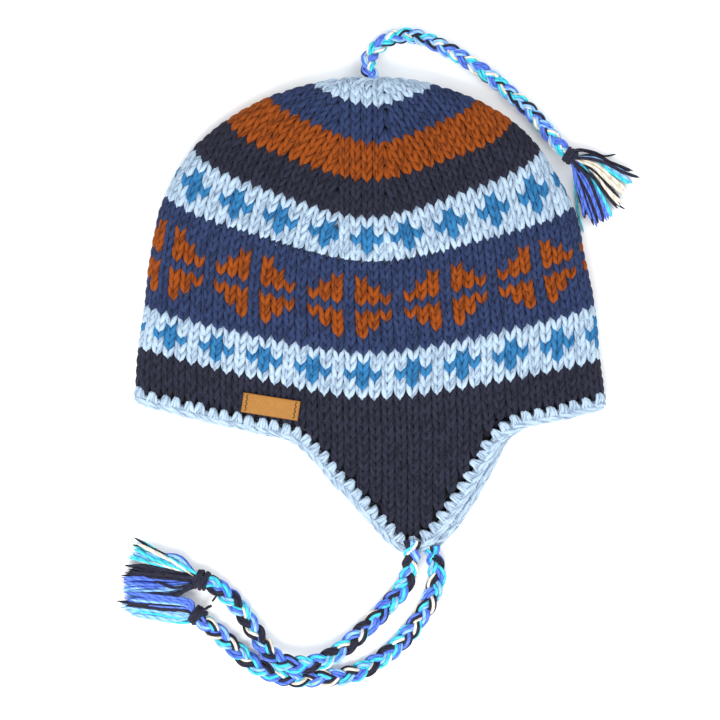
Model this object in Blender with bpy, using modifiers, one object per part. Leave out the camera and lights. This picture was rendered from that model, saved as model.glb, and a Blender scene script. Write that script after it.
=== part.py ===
"""Chullo hat: a thick hand-knitted wool hat with two ear flaps, a crocheted
edging, a leather label and three braids with tassels, lying flat on its side.

Frame: metres, +Z up, the surface it lies on is z = 0. The crown points to +Y and
the open rim to -Y. The origin is the middle of the hat's underside, the braids
and tassels left out.
"""
import bisect
import math

import bmesh
import bpy
from mathutils import Vector

MM = 0.001

# Driving dimensions
KNIT_THICKNESS = 5.0 * MM
PIECE_GAP = 0.4 * MM
ROLL_WIDTH = 9.0 * MM
PANEL_HALF_WIDTH = 14.0 * MM
ORIGIN = Vector((0.16, 0.12, 0.0)) * MM

# Rows are counted from the cast-on edge up to the middle of the crown.
# Lengths in millimetres. sag is how far the middle of a row hangs below its ends,
# turn is how far the row turns up as it reaches the fold at each side. crest is
# the height of the upper layer's middle, shoulder that of the rolled side, fold
# that of the outermost line, and base that of the lower layer's middle.
ROW_COLUMNS = ("row", "left_x", "left_y", "right_x", "right_y",
               "sag", "turn", "crest", "shoulder", "fold", "base")
ROW_TABLE = (
    (0.0, -135.1, -42.8, 135.1, -46.3, 25.0, 1.0, 21.0, 15.5, 8.0, 0.0),
    (4.0, -133.4, -19.8, 132.4, -27.0, 24.1, 1.5, 25.5, 17.0, 8.5, 0.0),
    (9.0, -129.9, 3.7, 129.4, 3.7, 24.6, 3.0, 30.0, 18.0, 9.0, 0.0),
    (14.5, -126.2, 34.8, 123.6, 32.5, 27.6, 4.0, 33.0, 18.5, 9.5, 0.0),
    (20.0, -118.7, 66.4, 117.3, 60.7, 30.0, 5.0, 34.0, 19.0, 9.5, 0.0),
    (25.0, -102.9, 94.0, 99.4, 93.0, 32.2, 8.0, 33.0, 19.0, 10.0, 0.0),
    (29.0, -83.9, 110.7, 83.4, 110.1, 27.0, 8.6, 31.0, 19.0, 10.0, 0.0),
    (33.0, -59.8, 124.5, 62.7, 122.8, 22.6, 5.0, 27.5, 18.5, 10.5, 0.0),
    (37.0, -34.5, 132.5, 37.9, 132.0, 11.6, 3.0, 23.5, 19.5, 11.0, 0.0),
    (39.0, -21.0, 135.3, 24.0, 135.0, 6.4, 1.5, 21.8, 19.5, 11.0, 0.5),
    (40.5, -10.5, 136.3, 13.0, 136.2, 2.2, 0.4, 18.5, 17.8, 11.0, 3.5),
    (42.0, 1.1, 136.6, 1.1, 136.6, 0.0, 0.0, 11.0, 11.0, 11.0, 11.0),
)
MESH_ROWS = (0, 2, 4, 6.5, 9, 12, 15, 17.5, 20, 22.5, 25, 27, 29, 31, 33, 35, 37, 38, 39, 40, 41)
LAST_ROW = 42.0
NORMAL_STEP = 1e-4
SLOPE_ROWS = 0.5
SEARCH_ROUNDS = 30
CROWN_REACH = 8.0 * MM
ROLL_STEPS = 3
DOME_STEPS = 16
FLAT_STEPS = 12

# An ear flap hangs from the rim: its width at each distance below the rim.
FLAP_COLUMNS = ("drop", "left_x", "right_x")
FLAP_TABLE = (
    (0.0, -41.0, 80.5),
    (5.0, -33.6, 72.0),
    (12.0, -26.2, 66.0),
    (20.0, -18.0, 61.0),
    (30.0, -8.0, 54.4),
    (40.0, 1.2, 47.6),
    (50.0, 9.0, 40.4),
    (60.0, 15.7, 33.2),
)
FLAP_LENGTH = 60.0 * MM
FLAP_TIP_HEIGHT = 11.0 * MM
FLAP_TIP_SLOPE = -0.02
FLAP_TIP_ROUNDING = 4.5 * MM
FLAP_STEPS_DOWN = 14
FLAP_STEPS_ACROSS = 10
FLAP_TIP_STEPS = 5
FLAP_NORMAL_INSET = 0.25
BACK_FLAP_SHIFT_AT_RIM = 3.0 * MM
BACK_FLAP_SHIFT_AT_TIP = 8.0 * MM

# Crocheted edging
EDGING_WIDTH = 6.6 * MM
EDGING_THICKNESS = 4.6 * MM
EDGING_CORNER = 1.3 * MM
EDGING_PITCH = 5.0 * MM
EDGING_ROOT_SPACE = 4.0 * MM
FOLD_STEPS = 7

# Leather label
LABEL_LENGTH = 33.0 * MM
LABEL_HEIGHT = 11.4 * MM
LABEL_THICKNESS = 1.6 * MM
LABEL_CENTRE = (-56.8 * MM, -52.8 * MM)
LABEL_TILT = math.radians(-9.0)
LABEL_STEPS = (6, 3)

# Braids: diameters, and the middle line of each in millimetres, chosen along the
# photo's braids from where each leaves the hat to its tassel.
TOP_BRAID_DIAMETER = 9.6 * MM
TIE_DIAMETER = 11.4 * MM
BRAID_STEP = 1.0
BRAID_RESOLUTION = 4
LOCK_RESOLUTION = 2
SMOOTHING_PARTS = 24
TOP_BRAID_ROUTE = (
    (0.6, 137.6, 11.0), (-1.4, 142.9, 11.0), (0.2, 149.3, 9.6), (5.4, 155.0, 7.7), (13.0, 159.4, 6.2),
    (22.5, 160.9, 5.2), (35.2, 157.2, 5.0), (51.2, 149.2, 5.0), (66.5, 139.3, 5.0), (80.2, 127.9, 5.0),
    (93.1, 116.3, 5.0), (103.8, 103.6, 5.1), (110.9, 95.4, 5.4),
)
FRONT_TIE_ROUTE = (
    (23.8, -137.45, 11.0), (23.2, -146.5, 9.4), (19.5, -156.5, 7.4), (10.9, -166.9, 6.8), (1.1, -177.0, 8.0),
    (-9.6, -187.0, 11.4), (-19.0, -194.4, 14.7), (-29.0, -199.4, 16.4), (-40.2, -201.3, 16.6),
    (-50.6, -199.3, 15.8), (-59.4, -192.8, 13.0), (-66.3, -182.4, 9.4), (-73.6, -171.2, 6.7),
    (-82.0, -161.8, 6.0), (-90.6, -155.2, 6.0),
)
BACK_TIE_ROUTE = (
    (35.3, -135.2, 6.0), (38.6, -148.0, 6.0), (37.0, -158.6, 6.0), (31.6, -170.3, 6.0), (23.6, -181.9, 6.0),
    (13.6, -192.6, 6.0), (2.0, -201.2, 6.0), (-9.0, -206.6, 6.0), (-19.6, -208.9, 6.0), (-30.5, -209.4, 6.0),
    (-41.5, -209.6, 6.0), (-52.6, -208.0, 6.0), (-62.6, -203.9, 6.0), (-72.4, -197.3, 6.0),
    (-80.9, -189.6, 6.0), (-88.3, -183.0, 6.0), (-94.8, -178.2, 6.2),
)

# Tassels: a bound knot and the locks that spread from it, with the two turning
# points of each lock's middle line after the knot, in millimetres.
LOCK_ROOT_RADIUS = 2.6 * MM
LOCK_TAPER = 0.25
LOCK_STEP = 9.0 * MM
KNOT_SEGMENTS = 14
KNOT_RINGS = 9
TASSELS = {
    "top_tassel": {
        "knot": (115.1, 91.3, 6.2),
        "knot_size": (5.6, 5.6, 5.6),
        "locks": (
            ((126.0, 91.6, 5.0), (141.5, 90.6, 3.0), 2.2),
            ((131.0, 87.4, 4.6), (154.6, 78.4, 3.2), 3.0),
            ((130.0, 83.0, 7.4), (150.6, 68.6, 4.4), 3.8),
            ((127.0, 78.0, 4.4), (144.0, 59.6, 3.6), 3.8),
            ((124.4, 75.6, 8.0), (136.4, 53.6, 4.6), 4.0),
            ((122.0, 73.0, 4.4), (129.6, 50.6, 3.6), 3.6),
            ((119.4, 74.6, 4.6), (122.6, 50.8, 3.0), 2.6),
        ),
    },
    "front_tassel": {
        "knot": (-97.1, -152.8, 6.7),
        "knot_size": (6.0, 6.8, 6.4),
        "locks": (
            ((-112.0, -141.0, 5.2), (-133.0, -131.6, 3.2), 3.0),
            ((-115.0, -144.6, 9.0), (-137.6, -136.4, 4.6), 3.8),
            ((-116.0, -148.0, 4.8), (-140.6, -141.6, 3.8), 3.8),
            ((-115.0, -150.6, 10.4), (-140.8, -146.8, 5.2), 4.2),
            ((-115.0, -153.6, 5.4), (-141.4, -151.0, 4.0), 3.8),
        ),
    },
    "back_tassel": {
        "knot": (-99.5, -173.2, 6.6),
        "knot_size": (6.4, 6.6, 6.4),
        "locks": (
            ((-110.0, -164.6, 8.4), (-140.6, -160.0, 4.6), 3.6),
            ((-112.0, -167.0, 4.8), (-142.2, -164.4, 3.8), 3.8),
            ((-112.0, -170.4, 8.6), (-142.0, -168.4, 4.6), 3.6),
            ((-110.0, -173.2, 4.4), (-140.6, -171.8, 3.2), 3.0),
        ),
    },
}

COLOURS = {
    "hat_body": (0.035, 0.065, 0.16, 1.0),
    "ear_flap_front": (0.010, 0.012, 0.030, 1.0),
    "ear_flap_back": (0.010, 0.012, 0.030, 1.0),
    "rim_edging": (0.45, 0.66, 0.85, 1.0),
    "label": (0.56, 0.25, 0.04, 1.0),
    "top_braid": (0.10, 0.22, 0.62, 1.0),
    "front_tie": (0.10, 0.22, 0.62, 1.0),
    "back_tie": (0.10, 0.22, 0.62, 1.0),
    "top_tassel": (0.07, 0.16, 0.50, 1.0),
    "front_tassel": (0.07, 0.16, 0.50, 1.0),
    "back_tassel": (0.07, 0.16, 0.50, 1.0),
}
WOOL_ROUGHNESS = 0.92
LEATHER_ROUGHNESS = 0.6


def clear_scene():
    """Remove every object and leave an empty scene."""
    for old in list(bpy.data.objects):
        bpy.data.objects.remove(old, do_unlink=True)


def make_collection(name):
    """Return a collection of that name, linked to the scene."""
    found = bpy.data.collections.get(name) or bpy.data.collections.new(name)
    if found.name not in bpy.context.scene.collection.children:
        bpy.context.scene.collection.children.link(found)
    return found


def make_material(name, roughness):
    """Return a Principled material with the piece's colour."""
    material = bpy.data.materials.new(name)
    material.use_nodes = True
    shader = material.node_tree.nodes["Principled BSDF"]
    shader.inputs["Base Color"].default_value = COLOURS[name]
    shader.inputs["Roughness"].default_value = roughness
    shader.inputs["Metallic"].default_value = 0.0
    material.diffuse_color = COLOURS[name]
    return material


def finish_object(obj, collection, roughness=WOOL_ROUGHNESS):
    """Move an object to its collection, about the origin, with its own material."""
    for owner in list(obj.users_collection):
        owner.objects.unlink(obj)
    collection.objects.link(obj)
    obj.location = -ORIGIN
    obj.data.materials.clear()
    obj.data.materials.append(make_material(obj.name, roughness))
    obj.data.shade_smooth()
    obj.data.set_sharp_from_angle(angle=math.radians(40.0))


def column_curve(table, columns, name):
    """Return a smooth function of the table's first column through one named column."""
    index = columns.index(name)
    knots = [entry[0] for entry in table]
    values = [entry[index] * MM for entry in table]
    slopes = []
    for i in range(len(knots)):
        low = max(0, i - 1)
        high = min(len(knots) - 1, i + 1)
        slopes.append((values[high] - values[low]) / (knots[high] - knots[low]))

    def value(where):
        i = min(max(bisect.bisect_right(knots, where) - 1, 0), len(knots) - 2)
        span = knots[i + 1] - knots[i]
        s = (where - knots[i]) / span
        start = values[i] * (1 + 2 * s) * (1 - s) ** 2 + slopes[i] * span * s * (1 - s) ** 2
        end = values[i + 1] * s * s * (3 - 2 * s) + slopes[i + 1] * span * s * s * (s - 1)
        return start + end

    return value


ROW = {name: column_curve(ROW_TABLE, ROW_COLUMNS, name) for name in ROW_COLUMNS[1:]}
FLAP = {name: column_curve(FLAP_TABLE, FLAP_COLUMNS, name) for name in FLAP_COLUMNS[1:]}


def sag_shape(across, softness):
    """Return how much of a row's sag is left at a place from -1 to 1 across it."""
    full = math.hypot(1.0, softness)
    return (full - math.hypot(across, softness)) / (full - softness)


def row_line(row, across):
    """Return the x and y of a row at a place from -1 to 1 across the hat."""
    half = (ROW["right_x"](row) - ROW["left_x"](row)) / 2
    middle = (ROW["right_x"](row) + ROW["left_x"](row)) / 2
    softness = max(0.25, min(0.9, PANEL_HALF_WIDTH / max(half, MM)))
    level = ROW["left_y"](row) * (1 - across) / 2 + ROW["right_y"](row) * (1 + across) / 2
    turn = ROW["turn"](row) * (abs(across) ** 14 - 1)
    return middle + half * across, level + turn - ROW["sag"](row) * sag_shape(across, softness)


def roll_share(row, across):
    """Return how far the rolled side has risen: 0 on the fold, 1 inside the roll."""
    half = (ROW["right_x"](row) - ROW["left_x"](row)) / 2
    roll = min(ROLL_WIDTH, 0.6 * half)
    inward = min(1.0, half * (1 - abs(across)) / roll)
    return math.sqrt(max(0.0, 1 - (1 - inward) ** 2))


def upper_point(row, across):
    """Return a point of the upper layer's outer skin."""
    x, y = row_line(row, across)
    fold = ROW["fold"](row)
    shoulder = (ROW["shoulder"](row) - fold) * roll_share(row, across)
    dome = (ROW["crest"](row) - ROW["shoulder"](row)) * (1 - across * across)
    return Vector((x, y, fold + shoulder + dome))


def lower_point(row, across):
    """Return a point of the lower layer's outer skin, flat on the surface inside the rolls."""
    x, y = row_line(row, across)
    fold = ROW["fold"](row)
    base = max(0.0, ROW["base"](row))
    return Vector((x, y, fold - (fold - base) * roll_share(row, across)))


def ring_places(row):
    """List the places once round a row, as (point function, across), from the left fold
    over the upper layer to the right fold and back under."""
    half = (ROW["right_x"](row) - ROW["left_x"](row)) / 2
    roll = min(ROLL_WIDTH, 0.6 * half) / half
    edges = [1 - roll * (1 - math.cos(math.pi / 2 * i / ROLL_STEPS)) for i in range(ROLL_STEPS)]

    def crossing(steps):
        inner = [(1 - roll) * (1 - 2 * i / steps) for i in range(steps + 1)]
        return edges + inner + [-edge for edge in reversed(edges)]

    over = [(upper_point, -across) for across in crossing(DOME_STEPS)]
    under = [(lower_point, across) for across in crossing(FLAT_STEPS)]
    return over + under[1:-1]


def surface_normal(point_at, first, second):
    """Return the unit normal of a two-way surface, from short steps both ways."""
    along = point_at(first + NORMAL_STEP, second) - point_at(first - NORMAL_STEP, second)
    across = point_at(first, second + NORMAL_STEP) - point_at(first, second - NORMAL_STEP)
    return along.cross(across).normalized()


def facing(normal, component, sign):
    """Return the normal, turned over if its component lacks the wanted sign."""
    return normal * math.copysign(1.0, component * sign)


def grid_mesh(name, rows, closed):
    """Return a new object from rows of points, each row a ring if closed."""
    mesh = bpy.data.meshes.new(name)
    bm = bmesh.new()
    grid = [[bm.verts.new(point) for point in row] for row in rows]
    for lower, upper in zip(grid, grid[1:]):
        count = len(lower)
        for i in range(count if closed else count - 1):
            j = (i + 1) % count
            corners = []
            for vert in (lower[i], lower[j], upper[j], upper[i]):
                if vert not in corners:
                    corners.append(vert)
            bm.faces.new(corners)
    bm.to_mesh(mesh)
    bm.free()
    obj = bpy.data.objects.new(name, mesh)
    bpy.context.scene.collection.objects.link(obj)
    return obj


def thicken(obj, thickness, offset):
    """Give an open sheet its thickness: offset -1 is behind its faces, 1 in front."""
    solid = obj.modifiers.new("thickness", "SOLIDIFY")
    solid.thickness = thickness
    solid.offset = offset
    solid.use_even_offset = False
    solid.use_quality_normals = True


def close_crown(obj, middle):
    """Close the open ring at the crown with a fan of faces to its middle."""
    bm = bmesh.new()
    bm.from_mesh(obj.data)
    top = [edge for edge in bm.edges if edge.is_boundary and edge.verts[0].co.y > middle.y - CROWN_REACH]
    tip = bm.verts.new(middle)
    for edge in top:
        bm.faces.new((edge.verts[1], edge.verts[0], tip))
    bmesh.ops.recalc_face_normals(bm, faces=bm.faces)
    bm.to_mesh(obj.data)
    bm.free()


def build_body(collection):
    """Knitted crown and sides: one open bag with an even wall."""
    rows = [[point_at(row, across) for point_at, across in ring_places(row)] for row in MESH_ROWS]
    body = grid_mesh("hat_body", rows, closed=True)
    close_crown(body, Vector([ROW[name](LAST_ROW) for name in ("left_x", "left_y", "crest")]))
    thicken(body, KNIT_THICKNESS, -1.0)
    finish_object(body, collection)
    return body


def tip_lift(drop, share):
    """Return how much a flap's row curves up at its ends, which rounds the tip."""
    return FLAP_TIP_ROUNDING * (drop / FLAP_LENGTH) ** 4 * (2 * share - 1) ** 2


def front_flap_point(drop, share):
    """Return a point of the front flap's upper skin, share 0 to 1 from left to right."""
    x = FLAP["left_x"](drop / MM) * (1 - share) + FLAP["right_x"](drop / MM) * share
    half = ROW["right_x"](0)
    across = x / half
    rim = upper_point(0, across)
    above = upper_point(SLOPE_ROWS, across)
    rim_slope = (rim.z - above.z) / (above.y - rim.y)
    s = drop / FLAP_LENGTH
    rise = rim.z * (1 + 2 * s) * (1 - s) ** 2 + rim_slope * FLAP_LENGTH * s * (1 - s) ** 2
    fall = FLAP_TIP_HEIGHT * s * s * (3 - 2 * s) + FLAP_TIP_SLOPE * FLAP_LENGTH * s * s * (s - 1)
    return Vector((x, rim.y - PIECE_GAP - drop + tip_lift(drop, share), rise + fall))


def back_flap_point(drop, share):
    """Return a point of the back flap's underside, which lies on the surface."""
    x = FLAP["left_x"](drop / MM) * (1 - share) + FLAP["right_x"](drop / MM) * share
    s = drop / FLAP_LENGTH
    shift = BACK_FLAP_SHIFT_AT_RIM * (1 - s) + BACK_FLAP_SHIFT_AT_TIP * s
    rim = row_line(0, (x + shift) / ROW["right_x"](0))
    return Vector((x + shift, rim[1] - PIECE_GAP - drop + tip_lift(drop, share), 0.0))


def build_flap(name, point_at, collection):
    """Knitted ear flap: a narrowing sheet that hangs from the rim."""
    drops = [FLAP_LENGTH * i / FLAP_STEPS_DOWN for i in range(FLAP_STEPS_DOWN + 1)]
    shares = [i / FLAP_STEPS_ACROSS for i in range(FLAP_STEPS_ACROSS + 1)]
    flap = grid_mesh(name, [[point_at(drop, share) for share in shares] for drop in drops], closed=False)
    faces_up = flap.data.polygons[0].normal.z > 0
    wants_up = point_at is front_flap_point
    thicken(flap, KNIT_THICKNESS, -1.0 if faces_up == wants_up else 1.0)
    finish_object(flap, collection)
    return flap


def flap_outline(point_at, outward_side):
    """List (edge point, skin normal) round a flap, down its left edge and up its right."""
    down = [FLAP_LENGTH * i / FLAP_STEPS_DOWN for i in range(1, FLAP_STEPS_DOWN + 1)]
    places = [(drop, 0.0) for drop in down]
    places += [(FLAP_LENGTH, i / FLAP_TIP_STEPS) for i in range(1, FLAP_TIP_STEPS)]
    places += [(drop, 1.0) for drop in reversed(down)]
    outline = []
    for drop, share in places:
        inside = min(max(share, FLAP_NORMAL_INSET), 1 - FLAP_NORMAL_INSET)
        normal = surface_normal(point_at, min(drop, FLAP_LENGTH - 2 * NORMAL_STEP), inside)
        outline.append((point_at(drop, share), facing(normal, normal.z, outward_side)))
    return outline


def rim_stretch(point_at, start, end, outward_side):
    """List (edge point, skin normal) along the rim between two places across it."""
    length = abs(end - start) * ROW["right_x"](0)
    count = max(2, round(length / EDGING_PITCH))
    stretch = []
    for i in range(count + 1):
        across = start + (end - start) * i / count
        normal = surface_normal(point_at, 2 * NORMAL_STEP, across)
        stretch.append((point_at(0, across), facing(normal, normal.z, outward_side)))
    return stretch


def fold_stretch(side):
    """List (edge point, skin normal) round the fold, from the upper layer to the lower."""

    def fold_point(row, angle):
        half = (ROW["right_x"](row) - ROW["left_x"](row)) / 2
        across = side * (1 - ROLL_WIDTH / half * (1 - math.cos(angle)))
        return upper_point(row, across) if angle < 0 else lower_point(row, across)

    stretch = []
    for i in range(1, FOLD_STEPS):
        angle = math.pi * i / FOLD_STEPS - math.pi / 2
        normal = surface_normal(fold_point, 2 * NORMAL_STEP, angle)
        stretch.append((fold_point(0, angle), facing(normal, normal.x, side)))
    return stretch


def edging_places():
    """List the whole loop of (edge point, normal): over the front, then back under."""
    half = ROW["right_x"](0)
    inside_roll = 1 - ROLL_WIDTH / half
    left = (FLAP["left_x"](0) - EDGING_ROOT_SPACE) / half
    right = (FLAP["right_x"](0) + EDGING_ROOT_SPACE) / half
    shift = BACK_FLAP_SHIFT_AT_RIM / half
    loop = rim_stretch(upper_point, -inside_roll, left, 1.0)
    loop += flap_outline(front_flap_point, 1.0)
    loop += rim_stretch(upper_point, right, inside_roll, 1.0)
    loop += fold_stretch(1.0)
    loop += rim_stretch(lower_point, inside_roll, right + shift, -1.0)
    loop += reversed(flap_outline(back_flap_point, -1.0))
    loop += rim_stretch(lower_point, left + shift, -inside_roll, -1.0)
    loop += reversed(fold_stretch(-1.0))
    return loop


def edging_section():
    """List the strip's section as (outward, along the normal) corners of a rounded bar."""
    near = PIECE_GAP
    far = PIECE_GAP + EDGING_WIDTH
    half = EDGING_THICKNESS / 2
    cut = EDGING_CORNER
    return ((near, -half + cut / 2), (near, half - cut / 2), (near + cut / 2, half), (far - cut, half),
            (far, half - cut), (far, -half + cut), (far - cut, -half), (near + cut / 2, -half))


def build_edging(collection):
    """Crocheted edging: one closed strip round the rim and both flaps."""
    loop = edging_places()
    count = len(loop)
    rows = []
    for i, (edge, normal) in enumerate(loop):
        tangent = (loop[(i + 1) % count][0] - loop[i - 1][0]).normalized()
        outward = tangent.cross(normal).normalized()
        upward = outward.cross(tangent)
        middle = edge - normal * (KNIT_THICKNESS / 2)
        rows.append([middle + outward * out + upward * up for out, up in edging_section()])
    edging = grid_mesh("rim_edging", rows + rows[:1], closed=True)
    bm = bmesh.new()
    bm.from_mesh(edging.data)
    bmesh.ops.remove_doubles(bm, verts=bm.verts, dist=1e-6)
    bmesh.ops.recalc_face_normals(bm, faces=bm.faces)
    bm.to_mesh(edging.data)
    bm.free()
    finish_object(edging, collection)
    return edging


def across_and_row_at(x, y):
    """Find the row and the place across it that lie under a point of the plan view."""
    row = 2.0
    across = 0.0
    for _ in range(SEARCH_ROUNDS):
        half = (ROW["right_x"](row) - ROW["left_x"](row)) / 2
        middle = (ROW["right_x"](row) + ROW["left_x"](row)) / 2
        across = (x - middle) / half
        below = row_line(row, across)[1]
        slope = (row_line(row + SLOPE_ROWS, across)[1] - below) / SLOPE_ROWS
        row += (y - below) / slope
    return row, across


def build_label(collection):
    """Leather label: a thin plate that follows the knit under it."""
    turn_x = Vector((math.cos(LABEL_TILT), math.sin(LABEL_TILT)))
    turn_y = Vector((-math.sin(LABEL_TILT), math.cos(LABEL_TILT)))
    steps_x, steps_y = LABEL_STEPS
    rows = []
    for j in range(steps_y + 1):
        row_points = []
        for i in range(steps_x + 1):
            along = LABEL_LENGTH * (i / steps_x - 0.5)
            up = LABEL_HEIGHT * (j / steps_y - 0.5)
            offset = turn_x * along + turn_y * up
            x = LABEL_CENTRE[0] + offset.x
            y = LABEL_CENTRE[1] + offset.y
            skin = upper_point(*across_and_row_at(x, y))
            row_points.append(Vector((x, y, skin.z + PIECE_GAP)))
        rows.append(row_points)
    label = grid_mesh("label", rows, closed=False)
    thicken(label, LABEL_THICKNESS, 1.0)
    finish_object(label, collection, LEATHER_ROUGHNESS)
    return label


def smooth_line(route, step):
    """Return evenly spaced points on a smooth curve through the route's points."""
    points = [Vector(p) * MM for p in route]
    fine = []
    for i in range(len(points) - 1):
        before = points[max(i - 1, 0)]
        start, end = points[i], points[i + 1]
        after = points[min(i + 2, len(points) - 1)]
        for k in range(SMOOTHING_PARTS):
            s = k / SMOOTHING_PARTS
            fine.append(0.5 * (2 * start + (end - before) * s
                               + (2 * before - 5 * start + 4 * end - after) * s ** 2
                               + (3 * start - before - 3 * end + after) * s ** 3))
    fine.append(points[-1])
    lengths = [0.0]
    for a, b in zip(fine, fine[1:]):
        lengths.append(lengths[-1] + (b - a).length)
    count = max(2, round(lengths[-1] / step))
    line = []
    for k in range(count + 1):
        target = lengths[-1] * k / count
        i = min(max(bisect.bisect_right(lengths, target) - 1, 0), len(fine) - 2)
        share = (target - lengths[i]) / (lengths[i + 1] - lengths[i])
        line.append(fine[i].lerp(fine[i + 1], min(share, 1.0)))
    return line


def tube_curve(name, line, radii, resolution):
    """Return a curve object with filled caps along a line of points."""
    curve = bpy.data.curves.new(name, "CURVE")
    curve.dimensions = "3D"
    curve.bevel_depth = 1.0
    curve.bevel_resolution = resolution
    curve.use_fill_caps = True
    spline = curve.splines.new("POLY")
    spline.points.add(len(line) - 1)
    for point, place, radius in zip(spline.points, line, radii):
        point.co = (*place, 1.0)
        point.radius = radius
    obj = bpy.data.objects.new(name, curve)
    bpy.context.scene.collection.objects.link(obj)
    return obj


def mesh_from_curve(curve_object):
    """Replace a curve object by a mesh object with welded caps."""
    depsgraph = bpy.context.evaluated_depsgraph_get()
    mesh = bpy.data.meshes.new_from_object(curve_object.evaluated_get(depsgraph))
    bm = bmesh.new()
    bm.from_mesh(mesh)
    bmesh.ops.remove_doubles(bm, verts=bm.verts, dist=1e-6)
    bmesh.ops.recalc_face_normals(bm, faces=bm.faces)
    bm.to_mesh(mesh)
    bm.free()
    name = curve_object.name
    matrix = curve_object.matrix_world.copy()
    bpy.data.objects.remove(curve_object, do_unlink=True)
    obj = bpy.data.objects.new(name, mesh)
    obj.matrix_world = matrix
    bpy.context.scene.collection.objects.link(obj)
    return obj


def build_braid(name, route, diameter, collection):
    """Braid: a plain tube along its middle line."""
    line = smooth_line(route, diameter * BRAID_STEP)
    braid = mesh_from_curve(tube_curve(name, line, [diameter / 2] * len(line), BRAID_RESOLUTION))
    finish_object(braid, collection)
    return braid


def build_tassel(name, cutters, collection):
    """Tassel: a bound knot with tapering locks fused to it."""
    sizes = TASSELS[name]
    knot_place = Vector(sizes["knot"]) * MM
    bpy.ops.mesh.primitive_uv_sphere_add(segments=KNOT_SEGMENTS, ring_count=KNOT_RINGS, radius=1.0,
                                         location=knot_place)
    tassel = bpy.context.object
    tassel.name = name
    tassel.scale = Vector(sizes["knot_size"]) * MM
    bpy.context.view_layer.update()
    tassel.data.transform(tassel.matrix_world)
    tassel.matrix_world.identity()
    for number, (turning, end, radius) in enumerate(sizes["locks"]):
        line = smooth_line((sizes["knot"], turning, end), LOCK_STEP)
        radii = [radius * MM * (1.0 - LOCK_TAPER * i / (len(line) - 1)) for i in range(len(line))]
        radii[0] = LOCK_ROOT_RADIUS
        lock = mesh_from_curve(tube_curve(f"{name}_lock_{number}", line, radii, LOCK_RESOLUTION))
        for owner in list(lock.users_collection):
            owner.objects.unlink(lock)
        cutters.objects.link(lock)
        lock.location = -ORIGIN
        lock.hide_render = True
        lock.display_type = "WIRE"
        join = tassel.modifiers.new(f"lock_{number}", "BOOLEAN")
        join.operation = "UNION"
        join.solver = "EXACT"
        join.object = lock
    finish_object(tassel, collection)
    return tassel


def main():
    clear_scene()
    parts = make_collection("chullo_hat")
    cutters = make_collection("cutters")
    build_body(parts)
    build_flap("ear_flap_front", front_flap_point, parts)
    build_flap("ear_flap_back", back_flap_point, parts)
    build_edging(parts)
    build_label(parts)
    build_braid("top_braid", TOP_BRAID_ROUTE, TOP_BRAID_DIAMETER, parts)
    build_braid("front_tie", FRONT_TIE_ROUTE, TIE_DIAMETER, parts)
    build_braid("back_tie", BACK_TIE_ROUTE, TIE_DIAMETER, parts)
    for name in TASSELS:
        build_tassel(name, cutters, parts)


main()
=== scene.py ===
"""Looks of the chullo hat: every stitch, crochet stitch, braid strand and tassel yarn as
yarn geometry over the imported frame, with wool and leather finishes built from nodes."""
import logging
import math
from dataclasses import dataclass, field
from enum import Enum
from typing import Any, Sequence

import bpy
import numpy as np
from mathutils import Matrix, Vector


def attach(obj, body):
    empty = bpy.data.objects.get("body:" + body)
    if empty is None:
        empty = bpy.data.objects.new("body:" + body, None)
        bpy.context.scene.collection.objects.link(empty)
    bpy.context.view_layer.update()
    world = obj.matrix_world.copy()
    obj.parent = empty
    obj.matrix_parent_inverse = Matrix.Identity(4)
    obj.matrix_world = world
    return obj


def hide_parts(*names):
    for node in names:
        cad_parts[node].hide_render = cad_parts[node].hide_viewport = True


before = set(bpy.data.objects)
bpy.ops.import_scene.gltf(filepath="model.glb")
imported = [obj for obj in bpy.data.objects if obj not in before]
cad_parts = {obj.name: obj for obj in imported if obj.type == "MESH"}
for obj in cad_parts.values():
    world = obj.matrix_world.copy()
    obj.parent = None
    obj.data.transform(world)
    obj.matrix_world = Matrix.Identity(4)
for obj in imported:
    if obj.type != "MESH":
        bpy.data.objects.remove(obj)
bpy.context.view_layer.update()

LOG = logging.getLogger("chullo")
MM = 0.001
Colour = tuple[float, float, float]


class Layer(Enum):
    """The two layers of the hat as it lies."""

    UPPER = 1
    LOWER = -1


class Yarn(Enum):
    """The yarns of the hat, its edging, its braids and its tassels."""

    NAVY = 0
    BLUE = 1
    ICE = 2
    BRIGHT = 3
    RUST = 4
    ROYAL = 5
    CYAN = 6
    SKY = 7
    CREAM = 8
    INK = 9


# ---------------------------------------------------------------- shader expressions


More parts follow.
